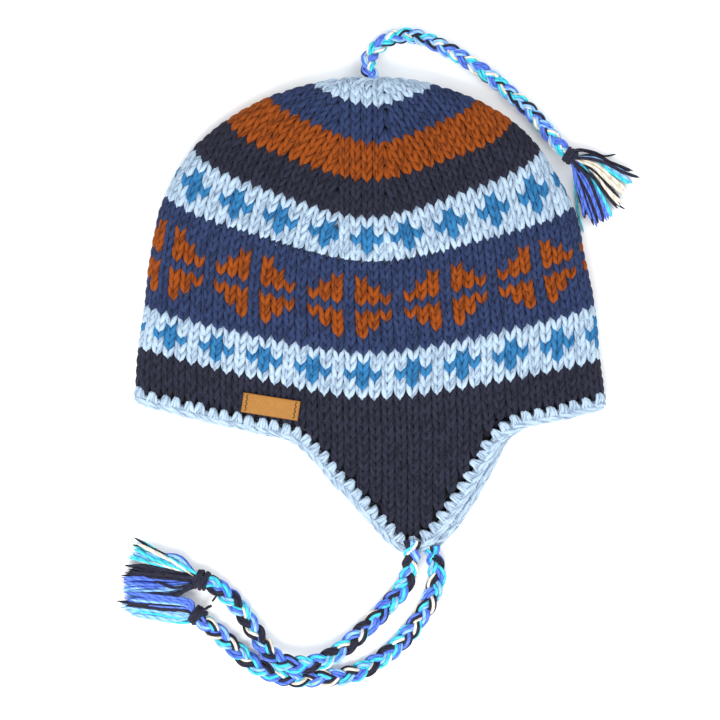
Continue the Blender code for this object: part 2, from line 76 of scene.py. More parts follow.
class Signal:
    """A node socket that takes part in Python arithmetic."""

    def __init__(self, graph: "Graph", socket: bpy.types.NodeSocket) -> None:
        """Keep the socket and the graph that it belongs to.

        Args:
            graph: the material's graph.
            socket: an output socket in it.
        """
        self.graph = graph
        self.socket = socket

    def _math(self, operation: str, *others: "Signal | float", clamp: bool = False) -> "Signal":
        """Pass this value and others through a Math node.

        Args:
            operation: the node's operation.
            others: the node's further inputs.
            clamp: whether the result is held from 0 to 1.

        Returns:
            The result.
        """
        values = dict(enumerate((self, *others)))
        return self.graph.node("ShaderNodeMath", {"operation": operation, "use_clamp": clamp}, values)

    def __add__(self, other: "Signal | float") -> "Signal":
        """Return the sum."""
        return self._math("ADD", other)

    __radd__ = __add__

    def __sub__(self, other: "Signal | float") -> "Signal":
        """Return the difference."""
        return self._math("SUBTRACT", other)

    def __rsub__(self, other: float) -> "Signal":
        """Return a number less this value."""
        return self * -1.0 + other

    def __mul__(self, other: "Signal | float") -> "Signal":
        """Return the product."""
        return self._math("MULTIPLY", other)

    __rmul__ = __mul__

    def __truediv__(self, other: "Signal | float") -> "Signal":
        """Return the quotient."""
        return self._math("DIVIDE", other)

    def __pow__(self, other: "Signal | float") -> "Signal":
        """Return the power."""
        return self._math("POWER", other)

    def __abs__(self) -> "Signal":
        """Return the absolute value."""
        return self._math("ABSOLUTE")

    def sine(self) -> "Signal":
        """Return the sine."""
        return self._math("SINE")

    def clamped(self) -> "Signal":
        """Return the value held from 0 to 1."""
        return self._math("ADD", 0.0, clamp=True)

    def between(self, low: float, high: float) -> "Signal":
        """Return a smooth rise from 0 at the low value to 1 at the high one.

        Args:
            low: where the rise starts.
            high: where the rise ends.

        Returns:
            The risen value, from 0 to 1.
        """
        settings = {"interpolation_type": "SMOOTHSTEP"}
        return self.graph.node("ShaderNodeMapRange", settings, {"Value": self, "From Min": low, "From Max": high})

    def blend(self, first: "Signal | Colour", second: "Signal | Colour") -> "Signal":
        """Mix two colours by this value.

        Args:
            first: the colour at 0.
            second: the colour at 1.

        Returns:
            The mixed colour.
        """
        values = {0: self, 6: first, 7: second}
        return self.graph.node("ShaderNodeMix", {"data_type": "RGBA"}, values, output=2)


class Graph:
    """A material's node tree, written as expressions."""

    def __init__(self, name: str) -> None:
        """Make an empty material with one Principled shader.

        Args:
            name: the material's name.
        """
        self.material = bpy.data.materials.new(name)
        self.material.use_nodes = True
        self.tree = self.material.node_tree
        self.shader = self.tree.nodes["Principled BSDF"]

    def _fill(self, socket: bpy.types.NodeSocket, value: Any) -> None:
        """Link a signal to an input socket, or set its value.

        Args:
            socket: the input.
            value: a Signal, a number, a vector or a colour.
        """
        if isinstance(value, Signal):
            self.tree.links.new(value.socket, socket)
        elif isinstance(value, tuple) and socket.type == "RGBA" and len(value) == 3:
            socket.default_value = (*value, 1.0)
        else:
            socket.default_value = value

    def node(self, kind: str, settings: dict[str, Any] | None = None,
             inputs: dict[Any, Any] | None = None, output: int | str = 0) -> Signal:
        """Add a node of any kind.

        Args:
            kind: the node's type.
            settings: its properties.
            inputs: values or signals for its sockets, by name or number.
            output: the output that is wanted.

        Returns:
            That output.
        """
        made = self.tree.nodes.new(kind)
        for key, value in (settings or {}).items():
            setattr(made, key, value)
        for key, value in (inputs or {}).items():
            self._fill(made.inputs[key], value)
        return Signal(self, made.outputs[output])

    def split(self, vector: Signal) -> tuple[Signal, Signal, Signal]:
        """Return the three parts of a vector.

        Args:
            vector: the vector.

        Returns:
            Its x, y and z.
        """
        made = self.tree.nodes.new("ShaderNodeSeparateXYZ")
        self.tree.links.new(vector.socket, made.inputs[0])
        return tuple(Signal(self, made.outputs[i]) for i in range(3))

    def joined(self, x: Signal | float, y: Signal | float, z: Signal | float = 0.0) -> Signal:
        """Return a vector of three values.

        Args:
            x: its first part.
            y: its second part.
            z: its third part.

        Returns:
            The vector.
        """
        return self.node("ShaderNodeCombineXYZ", inputs={0: x, 1: y, 2: z})

    def noise(self, vector: Signal, scale: float, detail: float = 2.0, roughness: float = 0.5) -> Signal:
        """Return fractal noise.

        Args:
            vector: where it is read.
            scale: how fine it is.
            detail: its octaves.
            roughness: how strong the fine octaves are.

        Returns:
            The noise, from 0 to 1.
        """
        values = {"Vector": vector, "Scale": scale, "Detail": detail, "Roughness": roughness}
        return self.node("ShaderNodeTexNoise", inputs=values)

    def finish(self, colour: Signal, height: Signal, depth: float, strength: float,
               roughness: Signal | float, **constants: Any) -> bpy.types.Material:
        """Connect a colour and a relief to the shader.

        Args:
            colour: the base colour.
            height: the relief, from 0 to 1.
            depth: how deep the relief is, in metres.
            strength: how strongly it shows.
            roughness: the roughness.
            constants: values set on the shader's own sockets.

        Returns:
            The material.
        """
        values = {"Height": height, "Distance": depth, "Strength": strength}
        relief = self.node("ShaderNodeBump", inputs=values)
        self._fill(self.shader.inputs["Base Color"], colour)
        self._fill(self.shader.inputs["Normal"], relief)
        self._fill(self.shader.inputs["Roughness"], roughness)
        for key, value in constants.items():
            self._fill(self.shader.inputs[key.replace("_", " ")], value)
        return self.material


# ---------------------------------------------------------------- finishes


@dataclass(frozen=True)
class WoolFinish:
    """Spun yarn: plies that wind round it, fibres along them and a soft halo, with painted shade between the plies and
    a painted highlight on pale fibres.

    Attributes:
        name: the material's name.
        colour: the yarn's colour.
        shade: painted shade between the plies and in the small hollows among the fibres.
        pale_fibre_highlight: the colour of pale fibres, partly the yarn's own and partly a painted highlight where they
            catch the light.
        plies: how many plies are twisted together.
        twist: ply turns in each centimetre, times the plies.
        melange_and_highlight: how strongly single fibres are lightened, partly real colour differences and partly a
            painted highlight.
        relief: how strongly the plies show.
        sheen: the halo of fine hairs.
    """

    name: str
    colour: Colour
    shade: Colour
    pale_fibre_highlight: Colour
    plies: int = 2
    twist: float = 0.9
    melange_and_highlight: float = 0.35
    relief: float = 0.75
    sheen: float = 0.35

    def material(self) -> bpy.types.Material:
        """Build the material; the Yarn map runs along each yarn in centimetres and once round it.

        Returns:
            The material.
        """
        graph = Graph(self.name)
        along, around, _ = graph.split(graph.node("ShaderNodeUVMap", {"uv_map": "Yarn"}))
        winding = around * float(self.plies) + along * self.twist
        ply = abs((winding * math.pi).sine()) ** 0.45
        strands = graph.noise(graph.joined(winding * 3.2, along * 0.9, around), 3.0, 3.0, 0.62)
        fibres = graph.noise(graph.joined(winding * 11.0, along * 2.2, around), 2.6, 2.0, 0.6)
        place = graph.node("ShaderNodeTexCoord", output="Object")
        patch = graph.noise(place, 95.0, 2.0, 0.5)
        speck = graph.noise(place, 1500.0, 2.0, 0.6)
        depth = ply * (strands * 0.5 + 0.5)
        # painted shade: the yarn darkens towards the shade colour in the grooves between the plies
        body = depth.between(0.10, 0.80).blend(self.shade, self.colour)
        # pale fibres and painted highlight: random fibres are lightened towards the pale fibre colour
        hairs = ((fibres * 0.6 + speck * 0.4).between(0.44, 0.72) * self.melange_and_highlight).clamped()
        lit = hairs.blend(body, self.pale_fibre_highlight)
        # painted shade in small hollows among the fibres, plus random darker patches in the yarn's tone
        fibre_shade_and_patches = (speck.between(0.52, 0.30) * 0.35 + patch.between(0.35, 0.75) * 0.2).clamped()
        height = ply * 0.70 + fibres * 0.18 + speck * 0.12
        return graph.finish(fibre_shade_and_patches.blend(lit, self.shade), height, 0.6 * MM, self.relief, 0.9,
                            Sheen_Weight=self.sheen, Sheen_Roughness=0.45, Sheen_Tint=(*self.pale_fibre_highlight, 1.0),
                            Specular_IOR_Level=0.18)


@dataclass(frozen=True)
class PurlFinish:
    """The back of the knitting: rows of small bumps, seen inside and between the stitches, in colours darkened as
    painted shade.

    Attributes:
        name: the material's name.
        colour: the yarn's colour, darkened as painted shade.
        shade: painted shade in the grooves.
    """

    name: str
    colour: Colour
    shade: Colour

    def material(self) -> bpy.types.Material:
        """Build the material; its Yarn map counts stitches and rows.

        Returns:
            The material.
        """
        graph = Graph(self.name)
        wale, row, _ = graph.split(graph.node("ShaderNodeUVMap", {"uv_map": "Yarn"}))
        lean = wale * (2.0 * math.pi)
        ridge = (row * (2.0 * math.pi) + lean.sine() * 1.3).sine() * 0.5 + 0.5
        bump = ridge * (abs((wale * math.pi).sine()) * 0.4 + 0.6)
        fuzz = graph.noise(graph.joined(wale * 3.0, row * 5.0), 3.0, 4.0, 0.65)
        height = bump * 0.75 + fuzz * 0.25
        # painted shade: the purl bumps darken towards the shade colour in their grooves
        tone = height.between(0.15, 0.8).blend(self.shade, self.colour)
        return graph.finish(tone, height, 1.2 * MM, 0.9, 0.95, Sheen_Weight=0.25, Specular_IOR_Level=0.1)


@dataclass(frozen=True)
class HairFinish:
    """Loose single fibres.

    Attributes:
        name: the material's name.
        colour: the fibre's colour.
    """

    name: str
    colour: Colour

    def material(self) -> bpy.types.Material:
        """Build the material.

        Returns:
            The material.
        """
        graph = Graph(self.name)
        patch = graph.noise(graph.node("ShaderNodeTexCoord", output="Object"), 400.0, 1.0)
        dark = tuple(0.55 * part for part in self.colour)
        return graph.finish(patch.blend(dark, self.colour), patch, 0.05 * MM, 0.2, 0.8, Sheen_Weight=0.4)


@dataclass(frozen=True)
class LeatherFinish:
    """Tan leather with a fine grain, a cut edge that is darker and a little wear.

    Attributes:
        name: the material's name.
        colour: the leather's colour.
        deep: its colour in the grain and at the edge.
        worn: its colour where it is rubbed.
    """

    name: str
    colour: Colour
    deep: Colour
    worn: Colour

    def material(self) -> bpy.types.Material:
        """Build the material; its Yarn map runs 0 to 1 along and across the label.

        Returns:
            The material.
        """
        graph = Graph(self.name)
        along, across, _ = graph.split(graph.node("ShaderNodeUVMap", {"uv_map": "Yarn"}))
        place = graph.node("ShaderNodeTexCoord", output="Object")
        cells = graph.node("ShaderNodeTexVoronoi", {"feature": "DISTANCE_TO_EDGE"},
                           {"Vector": place, "Scale": 1500.0})
        grain = cells.between(0.0, 0.12)
        mottle = graph.noise(place, 260.0, 4.0, 0.6)
        edge = (abs(along - 0.5).between(0.455, 0.5) + abs(across - 0.5).between(0.40, 0.5)).clamped()
        base = (mottle * 0.5 + grain * 0.5).between(0.05, 0.65).blend(self.deep, self.colour)
        rubbed = (mottle.between(0.50, 0.75) * 0.25).blend(base, self.worn)
        tone = (edge * 0.55).blend(rubbed, self.deep)
        height = grain * 0.6 + mottle * 0.4
        return graph.finish(tone, height, 0.25 * MM, 0.35, mottle * 0.2 + 0.42, Specular_IOR_Level=0.35)


@dataclass(frozen=True)
class FloorFinish:
    """The plain pale floor."""

    name: str = "floor"
    colour: Colour = (0.94, 0.94, 0.945)

    def material(self) -> bpy.types.Material:
        """Build the material.

        Returns:
            The material.
        """
        graph = Graph(self.name)
        cloud = graph.noise(graph.node("ShaderNodeTexCoord", output="Object"), 3.0, 2.0)
        pale = tuple(0.985 * part for part in self.colour)
        return graph.finish(cloud.blend(pale, self.colour), cloud, 0.1 * MM, 0.02, 0.85, Specular_IOR_Level=0.1)


# Each yarn: its colour, its painted shade between the plies, and the colour of its pale fibres and painted highlight.
WOOL: dict[Yarn, WoolFinish] = {
    Yarn.NAVY: WoolFinish("wool_navy", (0.0130, 0.0145, 0.031), (0.0030, 0.0035, 0.008), (0.085, 0.085, 0.115)),
    Yarn.BLUE: WoolFinish("wool_blue", (0.018, 0.033, 0.098), (0.005, 0.009, 0.030), (0.085, 0.105, 0.190)),
    Yarn.ICE: WoolFinish("wool_ice", (0.375, 0.490, 0.605), (0.135, 0.200, 0.300), (0.640, 0.715, 0.770),
                         melange_and_highlight=0.5),
    Yarn.BRIGHT: WoolFinish("wool_bright", (0.020, 0.150, 0.340), (0.006, 0.050, 0.145), (0.085, 0.280, 0.480)),
    Yarn.RUST: WoolFinish("wool_rust", (0.250, 0.050, 0.0035), (0.070, 0.011, 0.0015), (0.430, 0.120, 0.015)),
    Yarn.ROYAL: WoolFinish("wool_royal", (0.090, 0.180, 0.680), (0.025, 0.055, 0.330), (0.280, 0.420, 0.880),
                           twist=1.6, relief=0.6),
    Yarn.CYAN: WoolFinish("wool_cyan", (0.045, 0.600, 0.730), (0.012, 0.270, 0.400), (0.350, 0.860, 0.930),
                          twist=1.6, relief=0.6),
    Yarn.SKY: WoolFinish("wool_sky", (0.260, 0.520, 0.840), (0.090, 0.220, 0.540), (0.600, 0.800, 0.950),
                         twist=1.6, relief=0.6),
    Yarn.CREAM: WoolFinish("wool_cream", (0.800, 0.740, 0.620), (0.450, 0.380, 0.290), (0.930, 0.900, 0.830),
                           twist=1.6, relief=0.6),
    Yarn.INK: WoolFinish("wool_ink", (0.017, 0.017, 0.036), (0.004, 0.004, 0.010), (0.100, 0.098, 0.130),
                         twist=1.6, relief=0.6),
}
# The back's colours are the yarn's own darkened to 0.55 and its groove shade to 0.35: painted shade, since this sheet
# stands for yarn seen in shadow between and behind the stitches.
SHADED_PURL: dict[Yarn, PurlFinish] = {
    yarn: PurlFinish(f"shaded_purl_{yarn.name.lower()}", tuple(0.55 * part for part in WOOL[yarn].colour),
                     tuple(0.35 * part for part in WOOL[yarn].shade))
    for yarn in (Yarn.NAVY, Yarn.BLUE, Yarn.ICE, Yarn.RUST)
}
PALE_HAIR = HairFinish("hair_pale", (0.42, 0.42, 0.50))
DARK_HAIR = HairFinish("hair_dark", (0.050, 0.055, 0.090))
WHITE_HAIR = HairFinish("hair_white", (0.80, 0.88, 0.95))
THREAD = WoolFinish("thread_dark", (0.030, 0.018, 0.012), (0.008, 0.005, 0.004), (0.10, 0.07, 0.05),
                    plies=3, twist=9.0, relief=0.3)
LEATHER = LeatherFinish("leather_tan", (0.300, 0.124, 0.008), (0.185, 0.064, 0.004), (0.370, 0.180, 0.022))


class Wardrobe:
    """Hands out one material for each finish."""

    def __init__(self) -> None:
        """Start with none made."""
        self.made: dict[str, bpy.types.Material] = {}

    def of(self, finish: Any) -> bpy.types.Material:
        """Return the finish's material, made once.

        Args:
            finish: a finish with a name and a material method.

        Returns:
            Its material.
        """
        if finish.name not in self.made:
            self.made[finish.name] = finish.material()
        return self.made[finish.name]


WARDROBE = Wardrobe()


# ---------------------------------------------------------------- meshes of many tubes


def unit(vectors: np.ndarray) -> np.ndarray:
    """Scale vectors to length one.

    Args:
        vectors: an array whose last axis is x, y, z.

    Returns:
        The same array at unit length.
    """
    return vectors / np.maximum(np.linalg.norm(vectors, axis=-1, keepdims=True), 1e-12)


def spline(points: np.ndarray, rings: int) -> np.ndarray:
    """Draw smooth lines through points, with rings evenly spread over the spans.

    Args:
        points: the lines' points, shaped (lines, points, 3).
        rings: how many points each smooth line gets.

    Returns:
        The smooth lines, shaped (lines, rings, 3).
    """
    spans = points.shape[1] - 1
    place = np.linspace(0.0, spans, rings)
    i = np.minimum(place.astype(int), spans - 1)
    s = (place - i)[None, :, None]
    before, start = points[:, np.maximum(i - 1, 0)], points[:, i]
    end, after = points[:, i + 1], points[:, np.minimum(i + 2, spans)]
    return 0.5 * (2 * start + (end - before) * s + (2 * before - 5 * start + 4 * end - after) * s ** 2
                  + (3 * start - before - 3 * end + after) * s ** 3)


def evenly(line: np.ndarray, step: float) -> np.ndarray:
    """Return points at even steps along a line.

    Args:
        line: the line's points, shaped (points, 3).
        step: the wanted step in metres.

    Returns:
        The evenly spaced points.
    """
    reach = np.concatenate([[0.0], np.cumsum(np.linalg.norm(np.diff(line, axis=0), axis=1))])
    marks = np.linspace(0.0, reach[-1], max(2, round(reach[-1] / step) + 1))
    return np.stack([np.interp(marks, reach, line[:, k]) for k in range(3)], axis=1)


@dataclass
class MeshDraft:
    """Gathers tubes and sheets into one mesh with a bake map and a yarn map."""

    name: str
    points: list[np.ndarray] = field(default_factory=list)
    quads: list[np.ndarray] = field(default_factory=list)
    yarn_maps: list[np.ndarray] = field(default_factory=list)
    bake_maps: list[np.ndarray] = field(default_factory=list)
    slots: list[np.ndarray] = field(default_factory=list)
    areas: list[float] = field(default_factory=list)
    finishes: list[Any] = field(default_factory=list)
    count: int = 0

    def slot_of(self, finish: Any) -> int:
        """Return the material slot of a finish, added when it is new.

        Args:
            finish: the finish.

        Returns:
            Its slot's number.
        """
        if finish not in self.finishes:
            self.finishes.append(finish)
        return self.finishes.index(finish)

    def tubes(self, lines: np.ndarray, radii: np.ndarray, up: np.ndarray, slots: np.ndarray,
              sides: int, phase: np.ndarray, flat: float = 1.0) -> None:
        """Add many tubes that have the same number of rings.

        Args:
            lines: middle lines, shaped (tubes, rings, 3).
            radii: the radius at each ring, shaped (tubes, rings).
            up: the direction that each ring faces, shaped like lines.
            slots: each tube's material slot.
            sides: how many sides a tube has.
            phase: each tube's own start in the yarn map.
            flat: height over width of the section.
        """
        tubes, rings, _ = lines.shape
        ahead = unit(np.gradient(lines, axis=1))
        side = unit(np.cross(ahead, up))
        rise = np.cross(side, ahead)
        angles = np.linspace(-math.pi / 2, 1.5 * math.pi, sides, endpoint=False)
        spread = radii[:, :, None, None]
        ring = (side[:, :, None, :] * np.cos(angles)[None, None, :, None]
                + rise[:, :, None, :] * (np.sin(angles) * flat)[None, None, :, None])
        shell = lines[:, :, None, :] + ring * spread
        index = self.count + np.arange(tubes * rings * sides).reshape(tubes, rings, sides)
        turned = np.roll(index, -1, axis=2)
        quads = np.stack([index[:, :-1], turned[:, :-1], turned[:, 1:], index[:, 1:]], axis=-1)
        steps = np.linalg.norm(np.diff(lines, axis=1), axis=2)
        reach = np.concatenate([np.zeros((tubes, 1)), np.cumsum(steps, axis=1)], axis=1)
        low = reach[:, :-1, None]
        high = reach[:, 1:, None]
        start = np.broadcast_to(np.arange(sides) / sides, (tubes, rings - 1, sides))
        corner_u = np.stack(np.broadcast_arrays(low, low, high, high), axis=-1) * np.ones((1, 1, sides, 1))
        corner_v = np.stack([start, start + 1 / sides, start + 1 / sides, start], axis=-1)
        yarn = np.stack([corner_u * 100.0 + phase[:, None, None, None], corner_v], axis=-1)
        longest = float(reach[:, -1].max())
        girth = float(2 * math.pi * radii.mean())
        columns = max(1, round(math.sqrt(tubes * girth / longest)))
        lanes = math.ceil(tubes / columns)
        cell = np.arange(tubes)
        share = corner_u / np.maximum(reach[:, -1], 1e-9)[:, None, None, None]
        bake_u = (cell % columns)[:, None, None, None] / columns + (0.03 + 0.94 * share) / columns
        bake_v = (cell // columns)[:, None, None, None] / lanes + (0.04 + 0.92 * corner_v) / lanes
        self._keep(shell, quads, yarn, np.stack([bake_u, bake_v], axis=-1),
                   np.broadcast_to(slots[:, None, None], (tubes, rings - 1, sides)), tubes * girth * longest)

    def sheet(self, grid: np.ndarray, yarn: np.ndarray, slots: np.ndarray, flip: bool = False) -> None:
        """Add a sheet of rows of points.

        Args:
            grid: the points, shaped (rows, columns, 3).
            yarn: the yarn map at each point, shaped (rows, columns, 2).
            slots: the material slot of each face, shaped (rows - 1, columns - 1).
            flip: whether the faces look the other way.
        """
        rows, columns, _ = grid.shape
        index = self.count + np.arange(rows * columns).reshape(rows, columns)
        around = [(0, 0), (0, 1), (1, 1), (1, 0)]
        if flip:
            around = around[::-1]
        share = np.stack(np.meshgrid(np.linspace(0.01, 0.99, columns), np.linspace(0.01, 0.99, rows)), axis=-1)

        def corners(values: np.ndarray) -> np.ndarray:
            """Return the values at each face's four corners."""
            return np.stack([values[i:rows - 1 + i, j:columns - 1 + j] for i, j in around], axis=2)

        width = float(np.linalg.norm(np.diff(grid, axis=1), axis=2).sum(axis=1).mean())
        depth = float(np.linalg.norm(np.diff(grid, axis=0), axis=2).sum(axis=0).mean())
        self._keep(grid, corners(index), corners(yarn), corners(share), slots, width * depth)

    def _keep(self, shell: np.ndarray, quads: np.ndarray, yarn: np.ndarray, bake: np.ndarray,
              slots: np.ndarray, area: float) -> None:
        """Store one batch.

        Args:
            shell: its points.
            quads: its faces.
            yarn: its yarn map at the faces' corners.
            bake: its bake map there, from 0 to 1 for this batch.
            slots: its faces' material slots.
            area: its surface, which sets its share of the bake map.
        """
        self.points.append(shell.reshape(-1, 3))
        self.quads.append(quads.reshape(-1, 4))
        self.yarn_maps.append(yarn.reshape(-1, 2))
        self.bake_maps.append(bake.reshape(-1, 2))
        self.slots.append(np.asarray(slots).reshape(-1))
        self.areas.append(max(area, 1e-9))
        self.count += len(self.points[-1])

    def build(self, slot: str, nodes: Sequence[str] = ()) -> bpy.types.Object:
        """Make the object, let it ride on the hat and stand for CAD nodes.

        Args:
            slot: the record's material slot; it is not used.
            nodes: the CAD nodes that it replaces.

        Returns:
            The object.
        """
        mesh = bpy.data.meshes.new(self.name)
        mesh.from_pydata(np.concatenate(self.points), [], np.concatenate(self.quads))
        total = sum(self.areas)
        start = 0.0
        placed = []
        for bake, area in zip(self.bake_maps, self.areas):
            moved = bake.copy()
            moved[:, 1] = start + bake[:, 1] * area / total
            placed.append(moved)
            start += area / total
        for title, maps in (("OFBake", placed), ("Yarn", self.yarn_maps)):
            mesh.uv_layers.new(name=title).uv.foreach_set("vector", np.concatenate(maps).astype(np.float32).ravel())
        for finish in self.finishes:
            mesh.materials.append(WARDROBE.of(finish))
        mesh.polygons.foreach_set("material_index", np.concatenate(self.slots).astype(np.int32))
        mesh.shade_smooth()
        piece = bpy.data.objects.new(self.name, mesh)
        bpy.context.scene.collection.objects.link(piece)
        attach(piece, "root")
        if nodes:
            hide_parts(*nodes)
        LOG.info("%s: %d triangles", self.name, 2 * len(mesh.polygons))
        return piece


# ---------------------------------------------------------------- the hat's form


class Table:
    """Smooth curves through the named columns of a short table."""

    def __init__(self, columns: Sequence[str], entries: Sequence[Sequence[float]]) -> None:
        """Keep the knots, values and slopes of each column.

        Args:
            columns: the columns' names, the first being what the others depend on.
            entries: the table's lines, in millimetres after the first column.
        """
        data = np.array(entries, float)
        self.knots = data[:, 0]
        self.values = {name: data[:, i] * MM for i, name in enumerate(columns) if i}
        low = np.maximum(np.arange(len(data)) - 1, 0)
        high = np.minimum(np.arange(len(data)) + 1, len(data) - 1)
        span = self.knots[high] - self.knots[low]
        self.slopes = {name: (v[high] - v[low]) / span for name, v in self.values.items()}

    def at(self, name: str, where: np.ndarray) -> np.ndarray:
        """Return one column's curve at many places.

        Args:
            name: the column.
            where: the places.

        Returns:
            The curve's values.
        """
        i = np.clip(np.searchsorted(self.knots, where, side="right") - 1, 0, len(self.knots) - 2)
        span = self.knots[i + 1] - self.knots[i]
        s = (where - self.knots[i]) / span
        v, m = self.values[name], self.slopes[name]
        start = v[i] * (1 + 2 * s) * (1 - s) ** 2 + m[i] * span * s * (1 - s) ** 2
        return start + v[i + 1] * s * s * (3 - 2 * s) + m[i + 1] * span * s * s * (s - 1)


@dataclass(frozen=True)
class HatForm:
    """The hat's two layers and its flaps, by the same sizes as the solids.

    Attributes:
        thickness: the knit's thickness.
        gap: the gap between pieces.
        roll: the width of the rolled sides.
        panel: half the width of the crown's middle panel.
        origin: where the row frame's origin lies in the table's frame.
        flap_length: how far a flap hangs below the rim.
    """

    thickness: float = 5.0 * MM
    gap: float = 0.4 * MM
    roll: float = 9.0 * MM
    panel: float = 14.0 * MM
    origin: tuple[float, float, float] = (0.16 * MM, 0.12 * MM, 0.0)
    flap_length: float = 60.0 * MM
    flap_tip_height: float = 11.0 * MM
    flap_tip_slope: float = -0.02
    flap_tip_rounding: float = 4.5 * MM
    back_shift_at_rim: float = 3.0 * MM
    back_shift_at_tip: float = 8.0 * MM
    last_row: float = 42.0
    rows: Table = Table(
        ("row", "left_x", "left_y", "right_x", "right_y", "sag", "turn", "crest", "shoulder", "fold", "base"),
        (
            (0.0, -135.1, -42.8, 135.1, -46.3, 25.0, 1.0, 21.0, 15.5, 8.0, 0.0),
            (4.0, -133.4, -19.8, 132.4, -27.0, 24.1, 1.5, 25.5, 17.0, 8.5, 0.0),
            (9.0, -129.9, 3.7, 129.4, 3.7, 24.6, 3.0, 30.0, 18.0, 9.0, 0.0),
            (14.5, -126.2, 34.8, 123.6, 32.5, 27.6, 4.0, 33.0, 18.5, 9.5, 0.0),
            (20.0, -118.7, 66.4, 117.3, 60.7, 30.0, 5.0, 34.0, 19.0, 9.5, 0.0),
            (25.0, -102.9, 94.0, 99.4, 93.0, 32.2, 8.0, 33.0, 19.0, 10.0, 0.0),
            (29.0, -83.9, 110.7, 83.4, 110.1, 27.0, 8.6, 31.0, 19.0, 10.0, 0.0),
            (33.0, -59.8, 124.5, 62.7, 122.8, 22.6, 5.0, 27.5, 18.5, 10.5, 0.0),
            (37.0, -34.5, 132.5, 37.9, 132.0, 11.6, 3.0, 23.5, 19.5, 11.0, 0.0),
            (39.0, -21.0, 135.3, 24.0, 135.0, 6.4, 1.5, 21.8, 19.5, 11.0, 0.5),
            (40.5, -10.5, 136.3, 13.0, 136.2, 2.2, 0.4, 18.5, 17.8, 11.0, 3.5),
            (42.0, 1.1, 136.6, 1.1, 136.6, 0.0, 0.0, 11.0, 11.0, 11.0, 11.0),
        ),
    )
    flaps: Table = Table(
        ("drop", "left_x", "right_x"),
        (
            (0.0, -41.0, 80.5),
            (5.0, -33.6, 72.0),
            (12.0, -26.2, 66.0),
            (20.0, -18.0, 61.0),
            (30.0, -8.0, 54.4),
            (40.0, 1.2, 47.6),
            (50.0, 9.0, 40.4),
            (60.0, 15.7, 33.2),
        ),
    )

    def half(self, row: np.ndarray) -> np.ndarray:
        """Return half a row's width."""
        return (self.rows.at("right_x", row) - self.rows.at("left_x", row)) / 2

    def middle(self, row: np.ndarray) -> np.ndarray:
        """Return the x of a row's middle."""
        return (self.rows.at("right_x", row) + self.rows.at("left_x", row)) / 2

    def line(self, row: np.ndarray, across: np.ndarray) -> tuple[np.ndarray, np.ndarray]:
        """Return the plan of places on the hat.

        Args:
            row: rows from the rim.
            across: places from -1 to 1 across the row.

        Returns:
            Their x and y.
        """
        half = self.half(row)
        soft = np.clip(self.panel / np.maximum(half, MM), 0.25, 0.9)
        full = np.hypot(1.0, soft)
        sag = (full - np.hypot(across, soft)) / (full - soft)
        level = self.rows.at("left_y", row) * (1 - across) / 2 + self.rows.at("right_y", row) * (1 + across) / 2
        turn = self.rows.at("turn", row) * (np.abs(across) ** 14 - 1)
        return self.middle(row) + half * across, level + turn - self.rows.at("sag", row) * sag

    def rolled(self, row: np.ndarray, across: np.ndarray) -> np.ndarray:
        """Return how far the rolled side has risen: 0 on the fold, 1 inside.

        Args:
            row: rows from the rim.
            across: places across the row.

        Returns:
            The share risen.
        """
        half = self.half(row)
        roll = np.maximum(np.minimum(self.roll, 0.6 * half), 1e-6)
        inward = np.clip(half * (1 - np.abs(across)) / roll, 0.0, 1.0)
        return np.sqrt(np.maximum(0.0, 1 - (1 - inward) ** 2))

    def skin(self, layer: Layer, row: np.ndarray, across: np.ndarray) -> np.ndarray:
        """Return points of a layer's outer skin, in the row frame.

        Args:
            layer: the layer.
            row: rows from the rim.
            across: places across the row.

        Returns:
            The points.
        """
        row, across = np.broadcast_arrays(np.asarray(row, float), np.asarray(across, float))
        x, y = self.line(row, across)
        fold = self.rows.at("fold", row)
        share = self.rolled(row, across)
        if layer is Layer.UPPER:
            shoulder = self.rows.at("shoulder", row)
            dome = (self.rows.at("crest", row) - shoulder) * (1 - across * across)
            z = fold + (shoulder - fold) * share + dome
        else:
            z = fold - (fold - np.maximum(0.0, self.rows.at("base", row))) * share
        return np.stack([x, y, z], axis=-1) - np.array(self.origin)

    def flap_share(self, drop: np.ndarray, x: np.ndarray) -> np.ndarray:
        """Return where an x lies between a flap's edges, 0 to 1."""
        left = self.flaps.at("left_x", drop / MM)
        return (x - left) / (self.flaps.at("right_x", drop / MM) - left)

    def flap(self, layer: Layer, drop: np.ndarray, share: np.ndarray) -> np.ndarray:
        """Return points of a flap's outer skin, in the row frame.

        Args:
            layer: which flap: the upper layer's faces up, the lower layer's down.
            drop: distances below the rim.
            share: places from 0 to 1 from left to right.

        Returns:
            The points.
        """
        drop, share = np.broadcast_arrays(np.asarray(drop, float), np.asarray(share, float))
        s = drop / self.flap_length
        x = self.flaps.at("left_x", drop / MM) * (1 - share) + self.flaps.at("right_x", drop / MM) * share
        lift = self.flap_tip_rounding * np.clip(s, 0, None) ** 4 * (2 * share - 1) ** 2
        zero = np.zeros_like(x)
        half = self.rows.at("right_x", zero)
        if layer is Layer.LOWER:
            x = x + self.back_shift_at_rim * (1 - s) + self.back_shift_at_tip * s
            y = self.line(zero, x / half)[1]
            z = zero
        else:
            offset = np.array(self.origin)
            rim = self.skin(layer, zero, x / half) + offset
            above = self.skin(layer, zero + 0.5, x / half) + offset
            y = rim[..., 1]
            slope = (rim[..., 2] - above[..., 2]) / (above[..., 1] - y)
            z = (rim[..., 2] * (1 + 2 * s) * (1 - s) ** 2 + slope * self.flap_length * s * (1 - s) ** 2
                 + self.flap_tip_height * s * s * (3 - 2 * s)
                 + self.flap_tip_slope * self.flap_length * s * s * (s - 1))
        return np.stack([x, y - self.gap - drop + lift, z], axis=-1) - np.array(self.origin)

